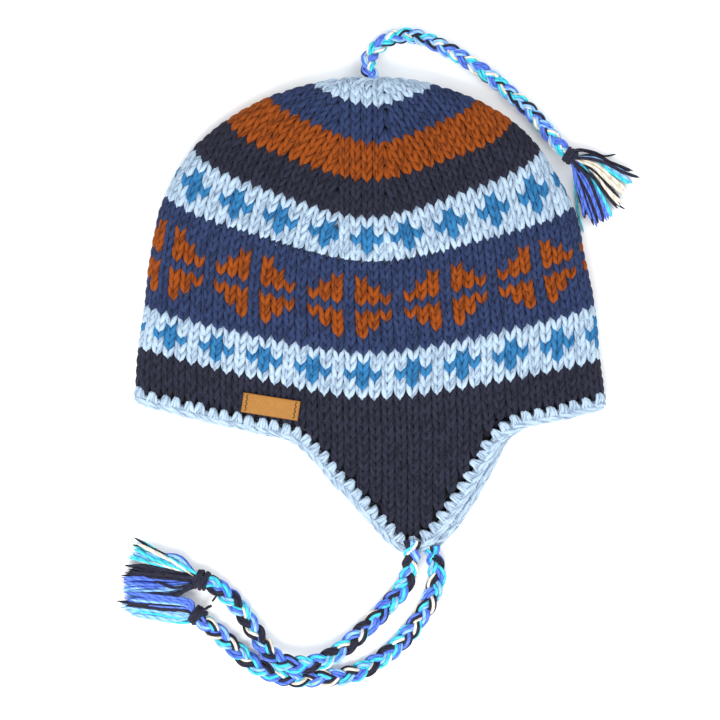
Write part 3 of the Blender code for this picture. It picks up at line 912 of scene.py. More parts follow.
    def normals(self, surface: Any, first: np.ndarray, second: np.ndarray,
                steps: tuple[float, float], outward: float) -> np.ndarray:
        """Return unit normals of a surface that two numbers describe.

        Args:
            surface: the function that gives its points.
            first: the first number of each place.
            second: the second number of each place.
            steps: short steps in both numbers.
            outward: 1 where the normals look up, -1 where they look down.

        Returns:
            The normals.
        """
        one, two = steps
        along = surface(first + one, second) - surface(first - one, second)
        high = np.clip(second + two, -1.0, 1.0)
        low = np.clip(second - two, -1.0, 1.0)
        side = surface(first, high) - surface(first, low)
        found = unit(np.cross(side, along)) * outward
        return found


FORM = HatForm()


# ---------------------------------------------------------------- knitting


@dataclass(frozen=True)
class Chart:
    """A colour chart that repeats round the hat, written from the bottom row up.

    Attributes:
        first_row: the chart's lowest row.
        lines: one string for each row, lowest first.
        shift: which column of the chart lies on wale 0.
    """

    first_row: int
    lines: tuple[str, ...]
    shift: int = 0

    def yarn(self, row: int, wale: int) -> Yarn:
        """Return the yarn of one stitch."""
        line = self.lines[row - self.first_row]
        return KEY[line[(wale + self.shift) % len(line)]]


KEY: dict[str, Yarn] = {"n": Yarn.NAVY, "b": Yarn.BLUE, "i": Yarn.ICE, "x": Yarn.BRIGHT, "r": Yarn.RUST}
CROSSES = ("iiii", "ixii", "xxxi", "ixii", "iiii")
WEDGES = ("bbbbbbbb", "bbbbbbbb", "bbrbrbbb", "brrbrrbb", "rrrbrrrb", "bbbbbbbb",
          "rrrbrrrb", "brrbrrbb", "bbrbrbbb", "bbbbbbbb", "bbbbbbbb")


@dataclass(frozen=True)
class Band:
    """A band of rows that becomes one piece.

    Attributes:
        name: the piece's name.
        chart: its colours.
        ground: the yarn that shows behind its stitches.
    """

    name: str
    chart: Chart
    ground: Yarn

    @property
    def rows(self) -> range:
        """Return the band's rows."""
        return range(self.chart.first_row, self.chart.first_row + len(self.chart.lines))


BANDS = (
    Band("knit_rim", Chart(0, ("n",) * 4), Yarn.NAVY),
    Band("knit_lower_light_band", Chart(4, CROSSES, 2), Yarn.ICE),
    Band("knit_middle_band", Chart(9, WEDGES, 1), Yarn.BLUE),
    Band("knit_upper_light_band", Chart(20, CROSSES, 2), Yarn.ICE),
    Band("knit_crown_navy", Chart(25, ("n",) * 4), Yarn.NAVY),
    Band("knit_crown_rust", Chart(29, ("r",) * 4), Yarn.RUST),
    Band("knit_crown_blue", Chart(33, ("b",) * 4), Yarn.BLUE),
    Band("knit_crown_cap", Chart(37, ("i",) * 5), Yarn.ICE),
)


@dataclass(frozen=True)
class StitchForm:
    """One knit stitch seen from the right side: two legs of thick yarn that spread upwards.

    Attributes:
        aside: each leg's distance from the stitch's middle, in stitch widths.
        rise: its height above the stitch's row, in rows.
        depth: how far its middle line lies under the outer skin, in metres.
        radius: its radius at each ring, in metres.
        sides: how many sides a leg has.
    """

    aside: tuple[float, ...] = (0.035, 0.085, 0.155, 0.235, 0.310, 0.375, 0.405)
    rise: tuple[float, ...] = (-0.20, 0.10, 0.42, 0.78, 1.14, 1.46, 1.72)
    depth: tuple[float, ...] = (3.7 * MM, 2.50 * MM, 1.55 * MM, 1.25 * MM, 1.45 * MM, 2.30 * MM, 3.7 * MM)
    radius: tuple[float, ...] = (0.95 * MM, 1.30 * MM, 1.50 * MM, 1.56 * MM, 1.48 * MM, 1.28 * MM, 0.95 * MM)
    sides: int = 8


@dataclass
class Knitter:
    """Places stitches on the hat's skin, row by row.

    Attributes:
        form: the hat's form.
        stitch: the stitch.
        wales: stitches across one layer below the crown.
        panel_wales: stitches in the crown's middle panel.
        panel_left: the x of the panel's left decrease line.
        panel_right: the x of its right one.
        crown_row: the row where decreasing starts.
        fold_share: the share of the crown's decreases that lies at the folds.
        bulge: how much wider stitches are in the middle of a row.
        proud: how far the upper layer's stitches stand above the solid.
        seed: the seed of the small irregularities.
    """

    form: HatForm = FORM
    stitch: StitchForm = StitchForm()
    wales: int = 40
    panel_wales: int = 4
    left_wales: int = 17
    panel_left: float = -17.8 * MM
    panel_right: float = 8.05 * MM
    crown_row: float = 20.0
    fold_share: float = 0.55
    bulge: float = 0.07
    proud: float = 0.8 * MM
    seed: int = 7

    def __post_init__(self) -> None:
        """Prepare the sample places across a row."""
        self.samples = -np.cos(np.linspace(0.0, math.pi, 321))
        self.chance = np.random.default_rng(self.seed)
        self.crown_pitch = {layer: self._pitches(layer) for layer in Layer}

    def _arc(self, layer: Layer, row: float) -> np.ndarray:
        """Return the distance along a row at the sample places, stretched a little in the middle.

        Args:
            layer: the layer.
            row: the row.

        Returns:
            The distances, from 0 at the left fold.
        """
        points = self.form.skin(layer, row, self.samples)
        steps = np.linalg.norm(np.diff(points, axis=0), axis=1)
        middles = (self.samples[1:] + self.samples[:-1]) / 2
        steps = steps * (1 - self.bulge * (1 - middles ** 2))
        return np.concatenate([[0.0], np.cumsum(steps)])

    def _panel(self, row: float) -> tuple[float, float]:
        """Return where the decrease lines cross a row, from -1 to 1."""
        half = float(self.form.half(np.float64(row)))
        middle = float(self.form.middle(np.float64(row)))
        return max(-1.0, (self.panel_left - middle) / half), min(1.0, (self.panel_right - middle) / half)

    def _pitches(self, layer: Layer) -> tuple[float, float]:
        """Return the stitch widths of the crown's left and right sectors.

        Args:
            layer: the layer.

        Returns:
            The two widths.
        """
        arc = self._arc(layer, self.crown_row)
        left, right = np.interp(self._panel(self.crown_row), self.samples, arc)
        return left / self.left_wales, (arc[-1] - right) / (self.wales - self.panel_wales - self.left_wales)

    def bounds(self, layer: Layer, row: float, whole: int) -> dict[int, tuple[float, float]]:
        """Return where each wale of a row starts and ends.

        Args:
            layer: the layer.
            row: the place of the bounds, in rows.
            whole: the row that the stitches belong to, which sets how many there are.

        Returns:
            Each wale's two bounds, as distances along the row.
        """
        arc = self._arc(layer, row)
        if whole < self.crown_row:
            edges = np.linspace(0.0, arc[-1], self.wales + 1)
            return {k: (edges[k], edges[k + 1]) for k in range(self.wales)}
        pitch_left, pitch_right = self.crown_pitch[layer]
        kept = self._arc(layer, whole + 0.5)
        left_then, right_then = np.interp(self._panel(whole + 0.5), self.samples, kept)
        left, right = np.interp(self._panel(row), self.samples, arc)
        found = {}
        for k, (low, high) in self._sector(left, left_then, pitch_left, self.left_wales):
            found[k] = (low, high)
        room = right_then - left_then
        inner = min(self.panel_wales, max(1, round(room / pitch_left)))
        edges = np.linspace(left, right, inner + 1)
        for k in range(inner):
            found[self.left_wales + k] = (edges[k], edges[k + 1])
        right_wales = self.wales - self.panel_wales - self.left_wales
        for k, (low, high) in self._sector(arc[-1] - right, kept[-1] - right_then, pitch_right, right_wales):
            found[self.wales - 1 - k] = (arc[-1] - high, arc[-1] - low)
        return found

    def _sector(self, length: float, length_then: float, pitch: float,
                wales: int) -> list[tuple[int, tuple[float, float]]]:
        """Return the wales of one side of the crown, counted from the fold.

        Args:
            length: the side's length where the bounds are wanted.
            length_then: its length half a row above the stitches' own row, which sets the wales that are left.
            pitch: a stitch's width.
            wales: how many wales it had below the crown.

        Returns:
            Each wale that is left, with its bounds measured from the fold.
        """

        def edges(reach: float) -> np.ndarray:
            """Return all bounds for a side of that length."""
            gone = self.fold_share * (wales - reach / pitch)
            return np.clip((np.arange(wales + 1) - gone) * pitch, 0.0, reach)

        now, then = edges(length), edges(length_then)
        left = [k for k in range(wales) if then[k + 1] - then[k] > 0.45 * pitch]
        return [(k, (float(now[k]), float(now[k + 1]))) for k in left]

    def legs(self, layer: Layer, row: int) -> tuple[np.ndarray, np.ndarray, list[int]]:
        """Lay the legs of one row.

        Args:
            layer: the layer.
            row: the row.

        Returns:
            The legs' middle lines, the directions that they face and the wale of each leg.
        """
        form = self.stitch
        places = None
        lines, normals = [], []
        for aside, rise, depth in zip(form.aside, form.rise, form.depth):
            place = min(row + rise, self.form.last_row - 0.35)
            bounds = self.bounds(layer, place, row)
            wales = list(bounds)
            pairs = np.array([bounds[w] for w in wales])
            middle = pairs.mean(axis=1)
            width = pairs[:, 1] - pairs[:, 0]
            if places is None:
                places = wales
                count = len(wales)
                wobble = self.chance.normal(0.0, 1.0, (count, 2, 4))
            sides = np.stack([middle - aside * width, middle + aside * width], axis=1)
            sides = sides + wobble[:, :, 0] * 0.12 * MM + wobble[:, :1, 1] * 0.10 * MM
            arc = self._arc(layer, place)
            across = np.interp(sides, arc, self.samples)
            level = np.full_like(across, place) + wobble[:, :, 2] * 0.03

            def surface(first: np.ndarray, second: np.ndarray) -> np.ndarray:
                """Return points of this layer's skin."""
                return self.form.skin(layer, first, second)

            normal = self.form.normals(surface, level, across, (0.05, 0.004), float(layer.value))
            stand = self.proud * self.form.rolled(level, across) if layer is Layer.UPPER else 0.0
            sink = depth - stand + np.abs(wobble[:, :, 3]) * 0.08 * MM
            lines.append(surface(level, across) - normal * np.asarray(sink)[..., None])
            normals.append(normal)
        line = np.stack(lines, axis=2).reshape(-1, len(form.rise), 3)
        normal = np.stack(normals, axis=2).reshape(-1, len(form.rise), 3)
        return line, normal, [w for w in places for _ in range(2)]

    def band(self, band: Band) -> bpy.types.Object:
        """Knit a band of rows on both layers.

        Args:
            band: the band.

        Returns:
            Its piece.
        """
        draft = MeshDraft(band.name)
        form = self.stitch
        for layer in Layer:
            for row in band.rows:
                line, normal, wales = self.legs(layer, row)
                turned = wales if layer is Layer.UPPER else [2 * self.wales - 1 - w for w in wales]
                slots = np.array([draft.slot_of(WOOL[band.chart.yarn(row, w)]) for w in turned])
                width = np.array(form.radius) * (1 + self.chance.normal(0, 0.04, (len(line), 1)))
                draft.tubes(line, width, normal, slots, form.sides, self.chance.uniform(0, 50, len(line)))
        return draft.build("navy_wool", ["hat_body"])

    def backing(self) -> bpy.types.Object:
        """Make the sheet of yarn behind the stitches, darkened as painted shade, with the purl side inside the hat.

        Returns:
            The piece.
        """
        draft = MeshDraft("knit_inside")
        rows = np.concatenate([np.arange(0.0, 37.0, 1.0), np.arange(37.0, 41.6, 0.5)])
        across = -np.cos(np.linspace(0.0, math.pi, 81))
        grounds = []
        for row in rows[:-1]:
            band = next(b for b in BANDS if row < b.rows.stop)
            grounds.append(draft.slot_of(SHADED_PURL[band.ground]))
        slots = np.repeat(np.array(grounds)[:, None], len(across) - 1, axis=1)
        for layer in Layer:
            place, where = np.meshgrid(rows, across, indexing="ij")

            def surface(first: np.ndarray, second: np.ndarray) -> np.ndarray:
                """Return points of this layer's skin."""
                return self.form.skin(layer, first, second)

            points = surface(place, where)
            normal = self.form.normals(surface, np.clip(place, 0.1, 41.4), where, (0.05, 0.004), float(layer.value))
            yarn = np.stack([(where + 1) * self.wales / 2, place], axis=-1)
            upper = layer is Layer.UPPER
            # painted shade: a darkened sheet under the stitches fills the gaps between them
            draft.sheet(points - normal * 2.6 * MM, yarn, slots, flip=not upper)
            draft.sheet(points - normal * (self.form.thickness - 0.1 * MM), yarn, slots, flip=upper)
        return draft.build("navy_wool", ["hat_body"])


@dataclass
class FlapKnitter:
    """Knits an ear flap: wales that run straight down from the rim.

    Attributes:
        knitter: the hat's knitter, which gives the wales at the rim.
        rows: rows in the flap.
        rim_row: the height of a row just above the rim.
        margin: how near a stitch's middle may come to the flap's edge.
    """

    knitter: Knitter
    rows: int = 13
    margin: float = 2.2 * MM
    rim_row: float = 5.2 * MM

    def piece(self, name: str, layer: Layer, node: str) -> bpy.types.Object:
        """Knit one flap.

        Args:
            name: the piece's name.
            layer: the layer that the flap belongs to.
            node: the CAD node that it replaces.

        Returns:
            The piece.
        """
        form, stitch, chance = self.knitter.form, self.knitter.stitch, self.knitter.chance
        draft = MeshDraft(name)
        slot = draft.slot_of(WOOL[Yarn.NAVY])
        pitch = form.flap_length / self.rows
        bounds = self.knitter.bounds(layer, 0.0, 0)
        arc = self.knitter._arc(layer, 0.0)
        middles = np.interp([sum(pair) / 2 for pair in bounds.values()], arc, self.knitter.samples)
        centres = form.skin(layer, 0.0, middles)[:, 0] + form.origin[0]
        width = float(np.diff(centres[10:30]).mean())
        lines, normals = [], []

        def surface(first: np.ndarray, second: np.ndarray) -> np.ndarray:
            """Return points of this flap's skin, and of the hat's above the rim."""
            below = form.flap(layer, np.maximum(first, 0.0), second)
            x = below[..., 0] + form.origin[0]
            half = form.rows.at("right_x", np.zeros_like(x))
            above = form.skin(layer, np.maximum(-first, 0.0) / self.rim_row, x / half)
            return np.where((first < 0)[..., None], above, below)

        for row in range(self.rows):
            base = pitch * (row + 1)
            left = float(form.flaps.at("left_x", np.float64(base / MM)))
            right = float(form.flaps.at("right_x", np.float64(base / MM)))
            shift = 0.0
            if layer is Layer.LOWER:
                s = base / form.flap_length
                shift = form.back_shift_at_rim * (1 - s) + form.back_shift_at_tip * s
            inside = centres[(centres > left + shift + self.margin * 0.4) & (centres < right + shift - self.margin * 0.4)]
            for centre in inside - shift:
                for side in (-1.0, 1.0):
                    wobble = chance.normal(0.0, 1.0, 4)
                    aside = np.array(stitch.aside) * width * side + wobble[0] * 0.1 * MM
                    drop = base - np.array(stitch.rise) * pitch + wobble[1] * 0.1 * MM
                    share = form.flap_share(np.maximum(drop, 0.0), np.full_like(drop, centre) + aside)
                    share = np.clip(share, 0.02, 0.98)
                    up = form.normals(surface, np.maximum(drop, 0.2 * MM), share, (0.1 * MM, 0.01), -float(layer.value))
                    up = up * np.sign(up[:, 2:3] * layer.value)
                    stand = self.knitter.proud if layer is Layer.UPPER else 0.0
                    sink = np.array(stitch.depth) - stand + abs(wobble[2]) * 0.08 * MM
                    lines.append(surface(drop, share) - up * sink[:, None])
                    normals.append(up)
        line, normal = np.array(lines), np.array(normals)
        radius = np.array(stitch.radius) * (1 + chance.normal(0, 0.04, (len(line), 1)))
        draft.tubes(line, radius, normal, np.full(len(line), slot), stitch.sides, chance.uniform(0, 50, len(line)))
        self._backing(draft, layer)
        return draft.build("dark_wool", [node])

    def _backing(self, draft: MeshDraft, layer: Layer) -> None:
        """Add the sheet behind a flap's stitches, darkened as painted shade.

        Args:
            draft: the flap's mesh.
            layer: its layer.
        """
        form = self.knitter.form
        drop, share = np.meshgrid(np.linspace(0.0, form.flap_length, 15), np.linspace(0.0, 1.0, 13), indexing="ij")
        points = form.flap(layer, drop, share)
        slots = np.full((14, 12), draft.slot_of(SHADED_PURL[Yarn.NAVY]))
        yarn = np.stack([share * 12, drop / form.flap_length * self.rows], axis=-1)
        down = np.array([0.0, 0.0, -float(layer.value)])
        # painted shade: a darkened sheet under the stitches fills the gaps between them
        draft.sheet(points + down * 2.6 * MM, yarn, slots, flip=layer is Layer.UPPER)
        draft.sheet(points + down * (form.thickness - 0.1 * MM), yarn, slots, flip=layer is Layer.LOWER)


# ---------------------------------------------------------------- crocheted edging


@dataclass
class EdgingLine:
    """The closed line along the rim and both flaps, with its outward and facing directions.

    Attributes:
        form: the hat's form.
        root_space: how far from a flap the rim's own stretch ends.
        corner: the first drop of a flap's outline.
        smoothing: how many rounds of smoothing the corners get.
    """

    form: HatForm = FORM
    root_space: float = 4.0 * MM
    corner: float = 3.5 * MM
    smoothing: int = 14

    def __post_init__(self) -> None:
        """Collect the stretches and smooth them into one loop."""
        form = self.form
        half = float(form.rows.at("right_x", np.float64(0)))
        inside = 1 - form.roll / half
        left = (float(form.flaps.at("left_x", np.float64(0))) - self.root_space) / half
        right = (float(form.flaps.at("right_x", np.float64(0))) + self.root_space) / half
        shift = form.back_shift_at_rim / half
        parts = [
            self._rim(Layer.UPPER, -inside, left),
            self._flap(Layer.UPPER),
            self._rim(Layer.UPPER, right, inside),
            self._fold(1.0),
            self._rim(Layer.LOWER, inside, right + shift),
            tuple(part[::-1] for part in self._flap(Layer.LOWER)),
            self._rim(Layer.LOWER, left + shift, -inside),
            tuple(part[::-1] for part in self._fold(-1.0)),
        ]
        points = np.concatenate([part[0] for part in parts])
        normals = np.concatenate([part[1] for part in parts])
        closed = np.concatenate([points, points[:1]])
        reach = np.concatenate([[0.0], np.cumsum(np.linalg.norm(np.diff(closed, axis=0), axis=1))])
        marks = np.arange(0.0, reach[-1], 1.0 * MM)
        facing = np.concatenate([normals, normals[:1]])
        points = np.stack([np.interp(marks, reach, closed[:, k]) for k in range(3)], axis=1)
        normals = np.stack([np.interp(marks, reach, facing[:, k]) for k in range(3)], axis=1)
        for _ in range(self.smoothing):
            points = (np.roll(points, 1, 0) + 2 * points + np.roll(points, -1, 0)) / 4
            normals = (np.roll(normals, 1, 0) + 2 * normals + np.roll(normals, -1, 0)) / 4
        tangent = unit(np.roll(points, -1, 0) - np.roll(points, 1, 0))
        self.outward = unit(np.cross(tangent, normals))
        self.facing = np.cross(self.outward, tangent)
        self.points = points - self.facing * form.thickness / 2
        steps = np.linalg.norm(np.roll(self.points, -1, 0) - self.points, axis=1)
        self.reach = np.concatenate([[0.0], np.cumsum(steps)])

    @property
    def length(self) -> float:
        """Return the loop's length."""
        return float(self.reach[-1])

    def _rim(self, layer: Layer, start: float, end: float) -> tuple[np.ndarray, np.ndarray]:
        """Return the points and normals of a stretch of rim."""
        across = np.linspace(start, end, max(3, round(abs(end - start) * 135)))
        zero = np.zeros_like(across)

        def surface(first: np.ndarray, second: np.ndarray) -> np.ndarray:
            """Return points of this layer's skin."""
            return self.form.skin(layer, first, second)

        return surface(zero, across), self.form.normals(surface, zero, across, (0.05, 0.004), float(layer.value))

    def _fold(self, side: float) -> tuple[np.ndarray, np.ndarray]:
        """Return the points and normals round a fold, from the upper layer to the lower."""
        angles = np.linspace(-math.pi / 2, math.pi / 2, 27)[1:-1]

        def surface(row: np.ndarray, angle: np.ndarray) -> np.ndarray:
            """Return points round the rolled side."""
            across = side * (1 - self.form.roll / self.form.half(row) * (1 - np.cos(angle)))
            over = self.form.skin(Layer.UPPER, row, across)
            return np.where(angle[:, None] < 0, over, self.form.skin(Layer.LOWER, row, across))

        zero = np.zeros_like(angles)
        along = surface(zero + 0.05, angles) - surface(zero - 0.05, angles)
        round_it = surface(zero, angles + 0.02) - surface(zero, angles - 0.02)
        normal = unit(np.cross(along, round_it))
        return surface(zero, angles), normal * np.sign(normal[:, :1] * side)

    def _flap(self, layer: Layer) -> tuple[np.ndarray, np.ndarray]:
        """Return the points and normals round a flap, down its left edge and up its right."""
        drops = np.linspace(self.corner, self.form.flap_length, 45)
        tip = np.linspace(0.0, 1.0, 14)[1:-1]
        drop = np.concatenate([drops, np.full(len(tip), self.form.flap_length), drops[::-1]])
        share = np.concatenate([np.zeros(45), tip, np.ones(45)])

        def surface(first: np.ndarray, second: np.ndarray) -> np.ndarray:
            """Return points of this flap's skin."""
            return self.form.flap(layer, first, second)

        inside = np.clip(share, 0.25, 0.75)
        near = np.minimum(drop, self.form.flap_length - 0.5 * MM)
        normal = self.form.normals(surface, near, inside, (0.2 * MM, 0.01), 1.0)
        return surface(drop, share), normal * np.sign(normal[:, 2:] * layer.value)

    def place(self, along: np.ndarray, outward: np.ndarray, rise: np.ndarray) -> tuple[np.ndarray, np.ndarray]:
        """Return points beside the line and the directions that they face.

        Args:
            along: distances along the loop.
            outward: distances outward from the knit's edge.
            rise: distances above the middle of the knit's thickness.

        Returns:
            The points and the facing directions.
        """
        mark = np.mod(along, self.length)

        def read(values: np.ndarray) -> np.ndarray:
            """Return the values at the marks."""
            closed = np.concatenate([values, values[:1]])
            return np.stack([np.interp(mark, self.reach, closed[:, k]) for k in range(3)], axis=-1)

        out, facing = unit(read(self.outward)), unit(read(self.facing))
        return read(self.points) + out * outward[..., None] + facing * rise[..., None], facing


@dataclass(frozen=True)
class CrochetForm:
    """One crochet stitch, as strands given by points (along, outward, rise) in millimetres.

    Attributes:
        pitch: the length of one stitch.
        wedge: the strands that reach over the knit, each with its radius.
        chain: the two strands of the chain along the outer edge.
    """

    pitch: float = 7.1 * MM
    wedge: tuple[tuple[float, tuple[tuple[float, float, float], ...]], ...] = (
        (0.98, ((0.4, -0.9, 0.9), (0.2, -1.3, 2.9), (-0.1, 0.8, 3.4), (-0.5, 3.0, 2.7), (-0.8, 4.8, 1.2))),
        (1.02, ((1.0, -1.0, 0.9), (1.0, -1.5, 3.0), (1.1, 0.8, 3.6), (1.1, 3.0, 2.8), (1.1, 4.8, 1.2))),
        (1.02, ((1.7, -0.8, 0.8), (1.9, -1.2, 2.8), (2.3, 0.9, 3.4), (2.7, 3.0, 2.7), (3.0, 4.8, 1.2))),
        (0.95, ((2.3, -0.2, 0.6), (2.7, -0.4, 2.5), (3.4, 1.4, 3.0), (4.1, 3.1, 2.4), (4.6, 4.8, 1.0))),
    )
    chain: tuple[tuple[float, tuple[tuple[float, float, float], ...]], ...] = (
        (1.32, ((-2.2, 4.8, 0.2), (-0.4, 4.8, 1.7), (3.0, 5.2, 2.2), (6.2, 5.7, 1.5), (8.0, 6.2, 0.2))),
        (1.22, ((-2.6, 6.3, -0.6), (-0.6, 6.6, 0.5), (2.8, 7.1, 0.9), (6.0, 6.9, 0.4), (7.8, 6.4, -0.6))),
        (1.32, ((-2.2, 4.8, -0.2), (-0.4, 4.8, -1.7), (3.0, 5.2, -2.1), (6.2, 5.7, -1.5), (8.0, 6.2, -0.2))),
    )


@dataclass
class Edging:
    """The crocheted edging round the rim and both flaps.

    Attributes:
        line: the line that it follows.
        crochet: its stitch.
        seed: the seed of its small irregularities.
    """

    line: EdgingLine
    crochet: CrochetForm = CrochetForm()
    seed: int = 21

    def build(self) -> bpy.types.Object:
        """Crochet it all the way round.

        Returns:
            The piece.
        """
        draft = MeshDraft("crochet_edging")
        chance = np.random.default_rng(self.seed)
        ice = draft.slot_of(WOOL[Yarn.ICE])
        count = round(self.line.length / self.crochet.pitch)
        starts = np.arange(count) * self.line.length / count
        scale = self.line.length / count / self.crochet.pitch
        strands = [(r, p, 1.0) for r, p in self.crochet.wedge + self.crochet.chain]
        strands += [(r, p, -1.0) for r, p in self.crochet.wedge[:3]]
        chain_radii = [radius for radius, _ in self.crochet.chain]
        swing = chance.normal(0.0, 0.34 * MM, (count, 1, 3)) * (1.2, 1.0, 0.5)
        for radius, points, side in strands:
            base = np.broadcast_to(np.array(points) * MM, (count, len(points), 3)).copy()
            base[..., 0] *= scale
            base += swing * (0.6 if radius in chain_radii else 1.0) + chance.normal(0.0, 0.16 * MM, base.shape)
            shaped = spline(base, 11)
            rise = np.maximum(np.abs(shaped[..., 2]), 0) * np.sign(shaped[..., 2]) * side
            line, facing = self.line.place(starts[:, None] + shaped[..., 0], shaped[..., 1], rise)
            ends = np.sin(np.linspace(0.0, math.pi, 11)) ** 0.5 * 0.3 + 0.7
            width = radius * MM * ends * (1 + chance.normal(0, 0.05, (count, 1)))
            draft.tubes(line, width, facing, np.full(count, ice), 8, chance.uniform(0, 50, count))
        marks = np.linspace(0.0, self.line.length, 3 * count + 1)
        core, facing = self.line.place(marks, np.full_like(marks, 3.6 * MM), np.zeros_like(marks))
        draft.tubes(core[None], np.full((1, len(core)), 2.0 * MM), facing[None], np.array([ice]), 8, np.zeros(1))
        return draft.build("pale_wool", ["rim_edging"])


# ---------------------------------------------------------------- leather label


@dataclass
class Label:
    """The bare leather label, sewn on with a zigzag of dark thread near each short end.

    Attributes:
        form: the hat's form.
        length: its length.
        height: its height.
        thickness: its thickness.
        lift: how far its underside lies above the knit's skin.
        centre: its middle in the table's frame.
        tilt: its turn in the picture.
        seam: how far from its short ends the thread runs.
    """

    form: HatForm = FORM
    length: float = 33.0 * MM
    height: float = 11.4 * MM
    thickness: float = 1.25 * MM
    lift: float = 0.85 * MM
    centre: tuple[float, float] = (-56.8 * MM, -52.8 * MM)
    tilt: float = math.radians(-9.0)
    seam: float = 2.4 * MM

    def _skin(self, x: np.ndarray, y: np.ndarray) -> np.ndarray:
        """Return the height of the upper skin under places in the table's frame."""
        row = np.full_like(x, 1.0)
        for _ in range(30):
            across = (x - self.form.middle(row)) / self.form.half(row)
            below = self.form.line(row, across)[1]
            slope = (self.form.line(row + 0.5, across)[1] - below) / 0.5
            row = row + (y - below) / slope
        return self.form.skin(Layer.UPPER, row, across)[..., 2]

    def _place(self, along: np.ndarray, up: np.ndarray, level: np.ndarray) -> np.ndarray:
        """Return points of the label, its level counted from its underside."""
        x = self.centre[0] + along * math.cos(self.tilt) - up * math.sin(self.tilt)
        y = self.centre[1] + along * math.sin(self.tilt) + up * math.cos(self.tilt)
        skin = self._skin(x, y)
        dent = np.exp(-((np.abs(along) - (self.length / 2 - self.seam)) / (0.9 * MM)) ** 2) * 0.28 * MM
        z = skin + self.lift + level - dent
        return np.stack([x - self.form.origin[0], y - self.form.origin[1], z], axis=-1)

    def build(self) -> bpy.types.Object:
        """Cut the label and sew it on.

        Returns:
            The piece.
        """
        draft = MeshDraft("leather_label")
        leather = draft.slot_of(LEATHER)
        edge = np.array([0.0, 0.10, 0.30, 0.65]) * MM
        swell = np.array([0.0, 0.55, 0.85, 1.0])
        inner = np.linspace(-1, 1, 41)[1:-1] * (self.length / 2 - 0.65 * MM)
        along = np.concatenate([edge - self.length / 2, inner, self.length / 2 - edge[::-1]])
        thick = np.concatenate([swell, np.ones(len(inner)), swell[::-1]])
        turn = np.linspace(0.0, 2 * math.pi, 65)
        reach = np.sign(np.cos(turn)) * np.abs(np.cos(turn)) ** 0.22
        round_it = np.sign(np.sin(turn)) * np.abs(np.sin(turn)) ** 0.5
        a, wide = np.meshgrid(along, reach, indexing="ij")
        level = self.thickness / 2 * (1 + round_it[None, :] * thick[:, None])
        grid = self._place(a, wide * self.height / 2, level)
        share = np.stack([a / self.length + 0.5, wide / 2 + 0.5], axis=-1)
        draft.sheet(grid, share, np.full((len(along) - 1, len(turn) - 1), leather))
        self._sew(draft)
        return draft.build("tan_leather", ["label"])

    def _sew(self, draft: MeshDraft) -> None:
        """Add the dark thread.

        Args:
            draft: the label's mesh.
        """
        thread = draft.slot_of(THREAD)
        steps = np.linspace(-1.0, 1.0, 8) * (self.height / 2 - 0.9 * MM)
        lines = []
        for end in (-1.0, 1.0):
            for k in range(len(steps) - 1):
                lean = 0.55 * MM * (-1) ** k
                seam = end * (self.length / 2 - self.seam)
                t = np.linspace(0.0, 1.0, 7)
                hop = self.thickness + 0.22 * MM - (2 * t - 1) ** 4 * 0.75 * MM
                up = steps[k] + (steps[k + 1] - steps[k]) * (0.08 + 0.84 * t)
                lines.append(self._place(seam - lean + 2 * lean * t, up, hop))
        line = np.array(lines)
        facing = np.broadcast_to(np.array([0.0, 0.0, 1.0]), line.shape)
        draft.tubes(line, np.full(line.shape[:2], 0.26 * MM), facing, np.full(len(line), thread), 6,
                    np.arange(len(line)) * 0.7)


# ---------------------------------------------------------------- braids and tassels


@dataclass(frozen=True)
class Lock:
    """Yarns that leave a tassel's knot together; places and sizes in millimetres.

    Attributes:
        turn: the place that they pass.
        end: where they end.
        radius: how far they spread.
        yarns: their colours, each with how many there are.
    """

    turn: tuple[float, float, float]
    end: tuple[float, float, float]
    radius: float
    yarns: tuple[tuple[Yarn, int], ...]


@dataclass(frozen=True)
class Strand:
    """One yarn whose place shows by itself in the photo.

    Attributes:
        yarn: its colour.
        points: the places that it passes, in millimetres in the table's frame.
        radius: its radius in millimetres.
    """

    yarn: Yarn
    points: tuple[tuple[float, float, float], ...]
    radius: float = 0.8


